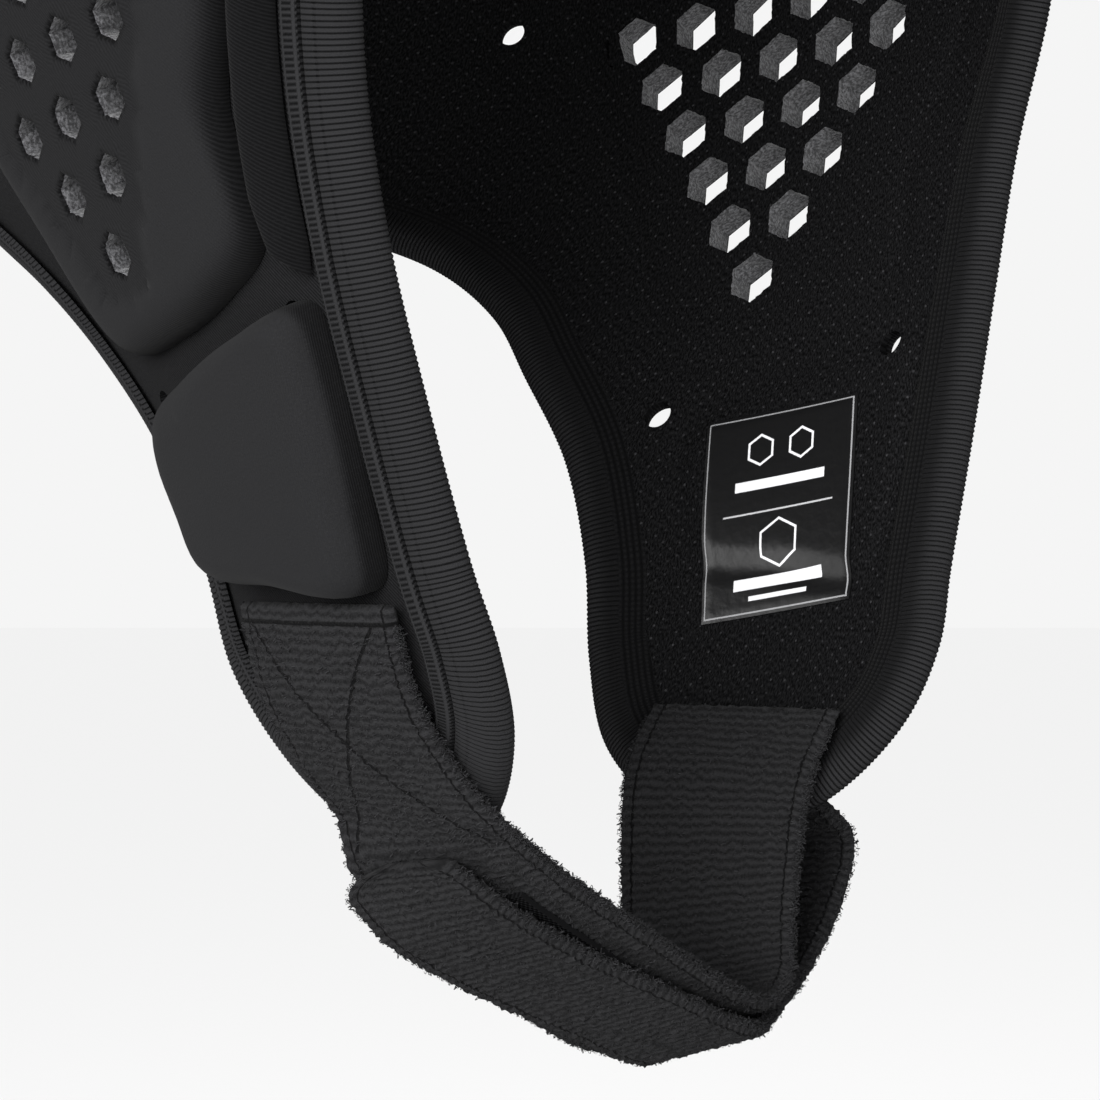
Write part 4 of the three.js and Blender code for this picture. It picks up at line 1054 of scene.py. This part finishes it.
class Nodes:
    """Short ways to add nodes to one material."""

    def __init__(self, name, colour, rough, sheen=0.0):
        self.material = bpy.data.materials.new(name)
        self.material.use_nodes = True
        self.tree = self.material.node_tree
        self.shader = self.tree.nodes["Principled BSDF"]
        self.shader.inputs["Base Color"].default_value = (*colour, 1)
        self.shader.inputs["Roughness"].default_value = rough
        self.shader.inputs["Sheen Weight"].default_value = sheen
        self.shader.inputs["Sheen Roughness"].default_value = 0.5
        self.shader.inputs["Specular IOR Level"].default_value = 0.0
        uv = self.tree.nodes.new("ShaderNodeUVMap")
        uv.uv_map = "UVMap"
        split = self.tree.nodes.new("ShaderNodeSeparateXYZ")
        self.link(uv.outputs[0], split.inputs[0])
        self.uv, self.u, self.v = uv.outputs[0], split.outputs[0], split.outputs[1]

    def link(self, a, b):
        self.tree.links.new(a, b)

    def put(self, socket, value):
        if isinstance(value, (int, float)):
            socket.default_value = value
        else:
            self.link(value, socket)

    def math(self, operation, a, b=0.0, c=0.0):
        node = self.tree.nodes.new("ShaderNodeMath")
        node.operation = operation
        for socket, value in zip(node.inputs, (a, b, c)):
            self.put(socket, value)
        return node.outputs[0]

    def step(self, value, low, high):
        node = self.tree.nodes.new("ShaderNodeMapRange")
        node.interpolation_type = "SMOOTHSTEP"
        self.put(node.inputs[0], value)
        node.inputs[1].default_value = low
        node.inputs[2].default_value = high
        return node.outputs[0]

    def between(self, value, low, high, soft):
        up = self.step(value, low - soft, low + soft)
        down = self.step(value, high - soft, high + soft)
        return self.math("SUBTRACT", up, down)

    def noise(self, scale, detail=2.0, stretch=(1, 1, 1), vector=None):
        mapping = self.tree.nodes.new("ShaderNodeMapping")
        mapping.inputs["Scale"].default_value = stretch
        self.link(vector or self.uv, mapping.inputs[0])
        node = self.tree.nodes.new("ShaderNodeTexNoise")
        node.inputs["Scale"].default_value = scale
        node.inputs["Detail"].default_value = detail
        self.link(mapping.outputs[0], node.inputs["Vector"])
        return node.outputs[0]

    def wave(self, value, pitch):
        turns = self.math("MULTIPLY", value, 2 * math.pi / pitch)
        return self.math("SINE", turns)

    def attribute(self, name):
        node = self.tree.nodes.new("ShaderNodeAttribute")
        node.attribute_name = name
        return node.outputs["Fac"]

    def mix(self, factor, a, b):
        node = self.tree.nodes.new("ShaderNodeMix")
        node.data_type = "RGBA"
        self.put(node.inputs[0], factor)
        for socket, value in ((node.inputs[6], a), (node.inputs[7], b)):
            if isinstance(value, tuple):
                socket.default_value = (*value, 1)
            else:
                self.link(value, socket)
        return node.outputs[2]

    def colour(self, value):
        self.link(value, self.shader.inputs["Base Color"])

    def bump(self, height, distance, strength=1.0):
        node = self.tree.nodes.new("ShaderNodeBump")
        node.inputs["Distance"].default_value = distance * MM
        node.inputs["Strength"].default_value = strength
        self.link(height, node.inputs["Height"])
        self.link(node.outputs[0], self.shader.inputs["Normal"])


_MADE = {}


def shared(key, make):
    if key not in _MADE:
        _MADE[key] = make()
    return _MADE[key]


def shade(settings, factor):
    return tuple(c * factor for c in settings.cloth_colour)


def cloth_material(settings):
    def make():
        n = Nodes("Stretch cloth", shade(settings, 0.9), 0.85, 0.006)
        knit = n.noise(2.6, 2, (1, 0.6, 1))
        ribs = n.wave(n.math("SUBTRACT", n.u, n.v), 0.64)
        height = n.math("MULTIPLY_ADD", ribs, 0.5, n.math("MULTIPLY", knit, 1.2))
        # Colour follows the bump height: painted shade in the rib hollows and lighter ridges, over the knit's random
        # tone
        n.colour(n.mix(n.step(height, 0.0, 1.3), shade(settings, 0.45), shade(settings, 1.25)))
        n.bump(height, 0.12)
        return n.material
    return shared("cloth", make)


def pad_material(settings, ribs):
    def make():
        n = Nodes("Pad cloth " + ribs, shade(settings, 1.3), 0.82, 0.012)
        value = {"diagonal": n.math("MULTIPLY", n.math("SUBTRACT", n.u, n.v), 0.7071),
                 "upright": n.math("SUBTRACT", n.attribute("plan_height"), n.math("ABSOLUTE", n.u)),
                 "level": n.v}[ribs]
        bend = n.math("MULTIPLY", n.noise(0.12, 1), 0.5)
        lines = n.wave(n.math("ADD", value, bend), 0.46)
        top = n.step(n.attribute("plan_height"), 6.2, 8.4)
        wall = n.math("SUBTRACT", 1.0, top)
        strength = n.math("MULTIPLY_ADD", wall, 0.85, 0.12)
        grain = n.noise(3.0, 2)
        height = n.math("MULTIPLY_ADD", lines, n.math("MULTIPLY", strength, 0.5), n.math("MULTIPLY", grain, 0.7))
        speckle = n.step(n.noise(5.0, 1), 0.56, 0.72)
        # Colour follows the bump height: painted shade in the rib hollows and lighter ridges, over the grain's random
        # tone
        tone = n.mix(n.step(height, -0.1, 0.9), shade(settings, 0.5), shade(settings, 1.35))
        tone = n.mix(n.math("MULTIPLY", speckle, 0.35), tone, shade(settings, 2.3))
        # Painted light on the pad tops, which are made lighter, and painted shade on the walls, which are made darker
        tone = n.mix(n.math("MULTIPLY", top, 0.45), tone, shade(settings, 1.5))
        tone = n.mix(n.math("MULTIPLY", wall, 0.6), tone, shade(settings, 0.3))
        # Ragged dark ring round each hole: the cut edge's raggedness, darkened with painted shade
        cut = n.math("MULTIPLY", n.attribute("hole_rim"), n.step(n.noise(1.6, 2), 0.36, 0.6))
        n.colour(n.mix(n.math("MULTIPLY", cut, 0.85), tone, shade(settings, 0.15)))
        n.bump(height, 0.08)
        return n.material
    return shared("pad " + ribs, make)


def foam_material(settings):
    def make():
        n = Nodes("Cut foam", shade(settings, 6), 0.95, 0.1)
        place = n.tree.nodes.new("ShaderNodeTexCoord").outputs["Object"]
        fibres = n.noise(1900, 3, (1, 1, 1), place)
        n.colour(n.mix(n.step(fibres, 0.35, 0.7), shade(settings, 2.5), shade(settings, 11)))
        n.bump(fibres, 0.3)
        return n.material
    return shared("foam", make)


def lining_material(settings):
    def make():
        n = Nodes("Mesh lining", shade(settings, 0.5), 0.9, 0.0)
        nearest = None
        for shift in (0.0, 0.5):
            a = n.math("SUBTRACT", n.math("FRACT", n.math("ADD", n.math("DIVIDE", n.u, 2.8), shift)), 0.5)
            b = n.math("SUBTRACT", n.math("FRACT", n.math("ADD", n.math("DIVIDE", n.v, 2.1), shift)), 0.5)
            a = n.math("MULTIPLY", a, 2.8)
            b = n.math("MULTIPLY", b, 2.1)
            far = n.math("SQRT", n.math("ADD", n.math("MULTIPLY", a, a), n.math("MULTIPLY", b, b)))
            nearest = far if nearest is None else n.math("MINIMUM", nearest, far)
        dots = n.math("SUBTRACT", 1.0, n.step(nearest, 0.10, 0.30))
        knit = n.noise(2.6, 2, (1.6, 0.6, 1))
        bright = n.step(n.noise(0.4, 2), 0.38, 0.72)
        tone = n.mix(n.step(knit, 0.35, 0.68), shade(settings, 0.22), shade(settings, 0.95))
        # The knit's raised dots are painted lighter in patches: a painted highlight on the dots
        tone = n.mix(n.math("MULTIPLY", dots, n.math("MULTIPLY_ADD", bright, 0.75, 0.12)), tone, shade(settings, 3.4))
        n.colour(tone)
        n.bump(n.math("MULTIPLY_ADD", dots, 0.5, knit), 0.16)
        return n.material
    return shared("lining", make)


def binding_material(settings):
    def make():
        n = Nodes("Binding tape", shade(settings, 1.0), 0.85, 0.008)
        ladder = n.between(n.v, 0.9, 4.3, 0.12)
        inner = n.between(n.v, 22.0, 40.0, 0.4)
        tape = n.math("SUBTRACT", 1.0, n.math("MAXIMUM", ladder, inner))
        rung = n.math("MULTIPLY_ADD", n.wave(n.u, 0.8), 0.5, 0.5)
        rails = n.math("MAXIMUM", n.between(n.v, 1.3, 1.9, 0.12), n.between(n.v, 3.4, 4.0, 0.12))
        ladder_height = n.math("MULTIPLY", ladder, n.math("MAXIMUM", rails, n.math("MULTIPLY", rung, 0.8)))
        line = n.step(n.math("FRACT", n.math("DIVIDE", n.u, 0.8)), 0.04, 0.30)
        ridge = n.math("MULTIPLY", line, n.math("SUBTRACT", 1.0, n.step(n.math("FRACT", n.math("DIVIDE", n.u, 0.8)),
                                                                        0.78, 0.98)))
        column = n.between(n.v, 7.3, 7.8, 0.15)
        tape_height = n.math("MULTIPLY", tape, n.math("SUBTRACT", ridge, n.math("MULTIPLY", column, 0.35)))
        rows = n.math("MULTIPLY_ADD", n.wave(n.v, 1.05), 0.5, 0.5)
        beads = n.math("MULTIPLY", rows, n.math("MULTIPLY_ADD", n.wave(n.u, 0.9), 0.35, 0.65))
        inner_height = n.math("MULTIPLY", inner, beads)
        groove = n.between(n.v, 4.3, 4.9, 0.15)
        height = n.math("ADD", n.math("ADD", ladder_height, tape_height), inner_height)
        height = n.math("SUBTRACT", height, n.math("MULTIPLY", groove, 0.8))
        grain = n.noise(4.0, 2)
        full = n.math("MULTIPLY_ADD", grain, 0.5, height)
        # Colour follows the bump height: painted shade in the groove and hollows and lighter rails and ridges, over
        # the grain's random tone
        tone = n.mix(n.step(full, 0.05, 1.1), shade(settings, 0.22), shade(settings, 1.6))
        # The inner rows from 17 mm on are painted darker: painted shade on the binding's inner side
        n.colour(n.mix(n.math("MULTIPLY", n.step(n.v, 17.0, 21.0), 0.65), tone, shade(settings, 0.3)))
        n.bump(full, 0.22)
        return n.material
    return shared("binding", make)


def terry_material(settings, label, length, width):
    def make():
        n = Nodes("Terry " + label, shade(settings, 1.0), 1.0, 0.01)
        wander = n.math("MULTIPLY", n.noise(0.5, 2, (0.4, 1, 1)), 2.2)
        rows = n.math("MULTIPLY_ADD", n.wave(n.math("ADD", n.u, wander), 1.4), 0.5, 0.5)
        curls = n.noise(2.2, 3, (1.6, 1.0, 1.0))
        height = n.math("MULTIPLY_ADD", rows, 0.5, n.math("MULTIPLY", curls, 1.1))
        stitch = None
        for low, high in ((1.2, 1.6), (width - 3.4, width - 3.0)):
            line = n.between(n.v, low, high, 0.1)
            stitch = line if stitch is None else n.math("MAXIMUM", stitch, line)
        hem = n.between(n.u, 2.4, 2.9, 0.15)
        stitch = n.math("MAXIMUM", stitch, hem)
        sewn = n.between(n.u, 2.9, 40.0, 0.2)
        slope = (width - 8) / 37
        for start, way in ((4.0, slope), (width - 4.0, -slope)):
            line = n.math("MULTIPLY_ADD", n.math("SUBTRACT", n.u, 2.9), way, start)
            off = n.math("ABSOLUTE", n.math("SUBTRACT", n.v, line))
            cross = n.math("MULTIPLY", n.math("SUBTRACT", 1.0, n.step(off, 0.25, 0.5)), sewn)
            stitch = n.math("MAXIMUM", stitch, cross)
        stitch = n.math("MULTIPLY", stitch, 0.8)
        height = n.math("SUBTRACT", height, stitch)
        # Colour follows the bump height: painted shade in the row hollows and sunken stitch lines, over the curls'
        # random tone
        n.colour(n.mix(n.step(height, 0.1, 1.3), shade(settings, 0.35), shade(settings, 1.9)))
        n.bump(height, 0.35)
        return n.material
    return shared("terry " + label, make)


def loop_material(settings):
    def make():
        n = Nodes("Terry loops", shade(settings, 2.0), 0.95, 0.01)
        tone = n.noise(0.9, 1)
        n.colour(n.mix(n.step(tone, 0.3, 0.7), shade(settings, 1.0), shade(settings, 2.6)))
        return n.material
    return shared("loops", make)


def tape_material(settings):
    def make():
        n = Nodes("Hook tape", shade(settings, 0.6), 0.45)
        weave = n.math("MULTIPLY", n.wave(n.u, 0.9), n.wave(n.v, 0.9))
        # Colour follows the weave's bump: painted shade in its hollows and lighter crossings
        n.colour(n.mix(n.step(weave, -0.5, 0.8), shade(settings, 0.3), shade(settings, 1.1)))
        n.bump(weave, 0.2)
        return n.material
    return shared("tape", make)


def label_material(settings, width, height):
    def make():
        n = Nodes("Label film", shade(settings, 0.45), 0.32)
        n.shader.inputs["Specular IOR Level"].default_value = 0.25
        pale = (0.40, 0.40, 0.41)
        frame_x = n.between(n.u, 0.5, width - 0.5, 0.05)
        frame_y = n.between(n.v, 0.5, height - 0.5, 0.05)
        inner_x = n.between(n.u, 0.75, width - 0.75, 0.05)
        inner_y = n.between(n.v, 0.75, height - 0.75, 0.05)
        outline = n.math("SUBTRACT", n.math("MULTIPLY", frame_x, frame_y), n.math("MULTIPLY", inner_x, inner_y))
        marks = n.math("MULTIPLY", outline, 0.35)
        rule = n.math("MULTIPLY", n.between(n.v, 17.35, 17.65, 0.06), n.between(n.u, 4.0, width - 4.0, 0.1))
        marks = n.math("MAXIMUM", marks, n.math("MULTIPLY", rule, 0.6))
        for low, high, left, right in ((21.5, 23.2, 6.0, 23.5), (4.6, 6.6, 6.0, 23.5), (2.6, 3.4, 9.0, 20.5)):
            bar = n.math("MULTIPLY", n.between(n.v, low, high, 0.08), n.between(n.u, left, right, 0.08))
            marks = n.math("MAXIMUM", marks, bar)
        for x, y, size in ((10.5, 28.4, 2.4), (18.5, 28.4, 2.4), (14.75, 11.9, 3.6)):
            a = n.math("ABSOLUTE", n.math("SUBTRACT", n.u, x))
            b = n.math("ABSOLUTE", n.math("SUBTRACT", n.v, y))
            slant = n.math("ADD", n.math("MULTIPLY", a, 0.5), n.math("MULTIPLY", b, 0.866))
            far = n.math("MAXIMUM", a, slant)
            marks = n.math("MAXIMUM", marks, n.between(far, size - 0.35, size + 0.05, 0.06))
        n.colour(n.mix(marks, shade(settings, 0.45), pale))
        n.bump(n.noise(0.5, 2), 0.08)
        return n.material
    return shared("label", make)


def stage_material(name, tone):
    n = Nodes(name, (tone, tone, tone), 1.0)
    mottled = n.noise(3.0, 1)
    n.colour(n.mix(mottled, (tone, tone, tone), (tone * 0.995, tone * 0.995, tone * 0.995)))
    n.shader.inputs["Specular IOR Level"].default_value = 0.0
    return n.material


# Stage

def build_stage(settings):
    bm = bmesh.new()
    bmesh.ops.create_grid(bm, x_segments=2, y_segments=2, size=30.0)
    mesh = bpy.data.meshes.new("Floor")
    bm.to_mesh(mesh)
    bm.free()
    floor = bpy.data.objects.new("Floor", mesh)
    floor.location = (0, 0, -0.62)
    layer = mesh.uv_layers.new(name="UVMap")
    layer.data.foreach_set("uv", [0.5] * (2 * len(mesh.loops)))
    mesh.materials.append(stage_material("Pale floor", 0.97))
    bpy.context.scene.collection.objects.link(floor)
    target = Vector((0, -0.02, -0.18))
    for name, place, size, power in (
            ("Key", (-1.15, -0.55, 0.05), 0.8, settings.light_power),
            ("Front fill", (-0.25, -1.3, 0.1), 1.1, settings.light_power * 0.18),
            ("Side fill", (-1.2, 0.5, 0.0), 1.0, settings.light_power * 0.3),
            ("Inside", (-0.5, -0.9, -0.35), 0.5, settings.light_power * 0.15),
            ("Top", (-0.5, 0.2, 1.1), 0.9, settings.light_power * 0.35)):
        data = bpy.data.lights.new(name, "AREA")
        data.energy = power
        data.size = size
        data.spread = math.radians(60)
        lamp = bpy.data.objects.new(name, data)
        lamp.location = place
        lamp.rotation_euler = (target - Vector(place)).to_track_quat("-Z", "Y").to_euler()
        bpy.context.scene.collection.objects.link(lamp)
    world = bpy.data.worlds.new("Pale room")
    world.use_nodes = True
    background = world.node_tree.nodes["Background"]
    background.inputs[0].default_value = (0.913, 0.913, 0.913, 1)
    background.inputs[1].default_value = 1.0
    bpy.context.scene.world = world
    bpy.context.scene.view_settings.view_transform = "Standard"
    camera = bpy.data.cameras.new("Photo view")
    camera.sensor_width = 36
    camera.lens = 129.93
    camera.clip_end = 20
    view = bpy.data.objects.new("Photo view", camera)
    aim = Vector((0, -20, -228)) * MM
    theta = math.radians(43)
    view.location = aim + Vector((-math.sin(theta), -math.cos(theta), 0)) * 0.610
    view.rotation_euler = (aim - view.location).to_track_quat("-Z", "Y").to_euler()
    bpy.context.scene.collection.objects.link(view)
    bpy.context.scene.camera = view


# Add-on

class CapSettings(bpy.types.PropertyGroup):
    cloth_colour: bpy.props.FloatVectorProperty(
        name="Cloth colour", description="Colour that every cloth's shade starts from", subtype="COLOR",
        size=3, min=0, max=1, default=(0.0060, 0.0060, 0.0063))
    label_width: bpy.props.FloatProperty(
        name="Label width", description="Width of the sewn label, in millimetres", default=29.5, min=20, max=32)
    light_power: bpy.props.FloatProperty(
        name="Light power", description="Power of the key light", subtype="POWER", unit="POWER", default=7.5,
        min=0)
    field_dish: bpy.props.FloatProperty(
        name="Field dish", description="How far the pierced field lies below its pad's edge, in millimetres",
        default=1.8, min=0, max=2.5)
    hole_taper: bpy.props.FloatProperty(
        name="Hole taper", description="How much smaller the ear holes are outside, in millimetres", default=1.1,
        min=0, max=1.4)
    loop_count: bpy.props.IntProperty(
        name="Terry loops", description="Loops on the longer strap", default=13000, min=100, max=20000)


class CAP_OT_cloth(bpy.types.Operator):
    """Shell and lining of the cap"""
    bl_idname = "cap.cloth"
    bl_label = "Cloth"

    def execute(self, context):
        build_shell(context.scene.cap)
        build_lining(context.scene.cap)
        return {"FINISHED"}


class CAP_OT_side_pads(bpy.types.Operator):
    """Pierced ear pads, jaw pads and narrow front pads"""
    bl_idname = "cap.side_pads"
    bl_label = "Side pads"

    def execute(self, context):
        for hand, word in ((1, "left"), (-1, "right")):
            build_ear_pad("ear_pad_" + word, hand, context.scene.cap)
            build_jaw_pad("jaw_pad_" + word, hand, context.scene.cap)
            build_front_pad("front_pad_" + word, hand, context.scene.cap)
        return {"FINISHED"}


class CAP_OT_plain_pads(bpy.types.Operator):
    """Plain raised pads of the crown, sides and back"""
    bl_idname = "cap.plain_pads"
    bl_label = "Plain pads"

    def execute(self, context):
        build_top_pad(context.scene.cap)
        for name, row in PLAIN_PADS.items():
            build_plain_pad(name, row, context.scene.cap)
        return {"FINISHED"}


class CAP_OT_binding(bpy.types.Operator):
    """Ribbed binding round the edge"""
    bl_idname = "cap.binding"
    bl_label = "Binding"

    def execute(self, context):
        build_binding(context.scene.cap)
        return {"FINISHED"}


class CAP_OT_straps(bpy.types.Operator):
    """Terry straps with their loops, and the hook tape"""
    bl_idname = "cap.straps"
    bl_label = "Straps"

    def execute(self, context):
        settings = context.scene.cap
        count = settings.loop_count
        build_strap("Right strap", "right_strap", CHIN_STATIONS, 38.0, 3, count, 5, settings)
        build_strap("Left strap", "left_strap", LEFT_STATIONS, 30.0, 4, count // 2, 6, settings)
        build_hook_tape(settings)
        return {"FINISHED"}


class CAP_OT_label(bpy.types.Operator):
    """Sewn label inside the left flap"""
    bl_idname = "cap.label"
    bl_label = "Label"

    def execute(self, context):
        build_label(context.scene.cap)
        return {"FINISHED"}


class CAP_OT_stage(bpy.types.Operator):
    """Floor, lights and camera"""
    bl_idname = "cap.stage"
    bl_label = "Stage"

    def execute(self, context):
        build_stage(context.scene.cap)
        return {"FINISHED"}


OPERATORS = (CAP_OT_cloth, CAP_OT_side_pads, CAP_OT_plain_pads, CAP_OT_binding, CAP_OT_straps, CAP_OT_label,
             CAP_OT_stage)


class CAP_PT_panel(bpy.types.Panel):
    """Sizes, colour and steps of the cap"""
    bl_idname = "CAP_PT_panel"
    bl_label = "Scrum cap"
    bl_space_type = "VIEW_3D"
    bl_region_type = "UI"
    bl_category = "Scrum cap"

    def draw(self, context):
        settings = context.scene.cap
        for name in ("cloth_colour", "label_width", "hole_taper", "field_dish", "light_power", "loop_count"):
            self.layout.prop(settings, name)
        for operator in OPERATORS:
            self.layout.operator(operator.bl_idname)


CLASSES = (CapSettings, *OPERATORS, CAP_PT_panel)


def register():
    for item in CLASSES:
        bpy.utils.register_class(item)
    bpy.types.Scene.cap = bpy.props.PointerProperty(type=CapSettings)


def unregister():
    del bpy.types.Scene.cap
    for item in reversed(CLASSES):
        bpy.utils.unregister_class(item)


def main():
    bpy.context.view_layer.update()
    register()
    bpy.ops.cap.cloth()
    bpy.ops.cap.side_pads()
    bpy.ops.cap.plain_pads()
    bpy.ops.cap.binding()
    bpy.ops.cap.straps()
    bpy.ops.cap.label()
    bpy.ops.cap.stage()


if __name__ == "__main__":
    main()
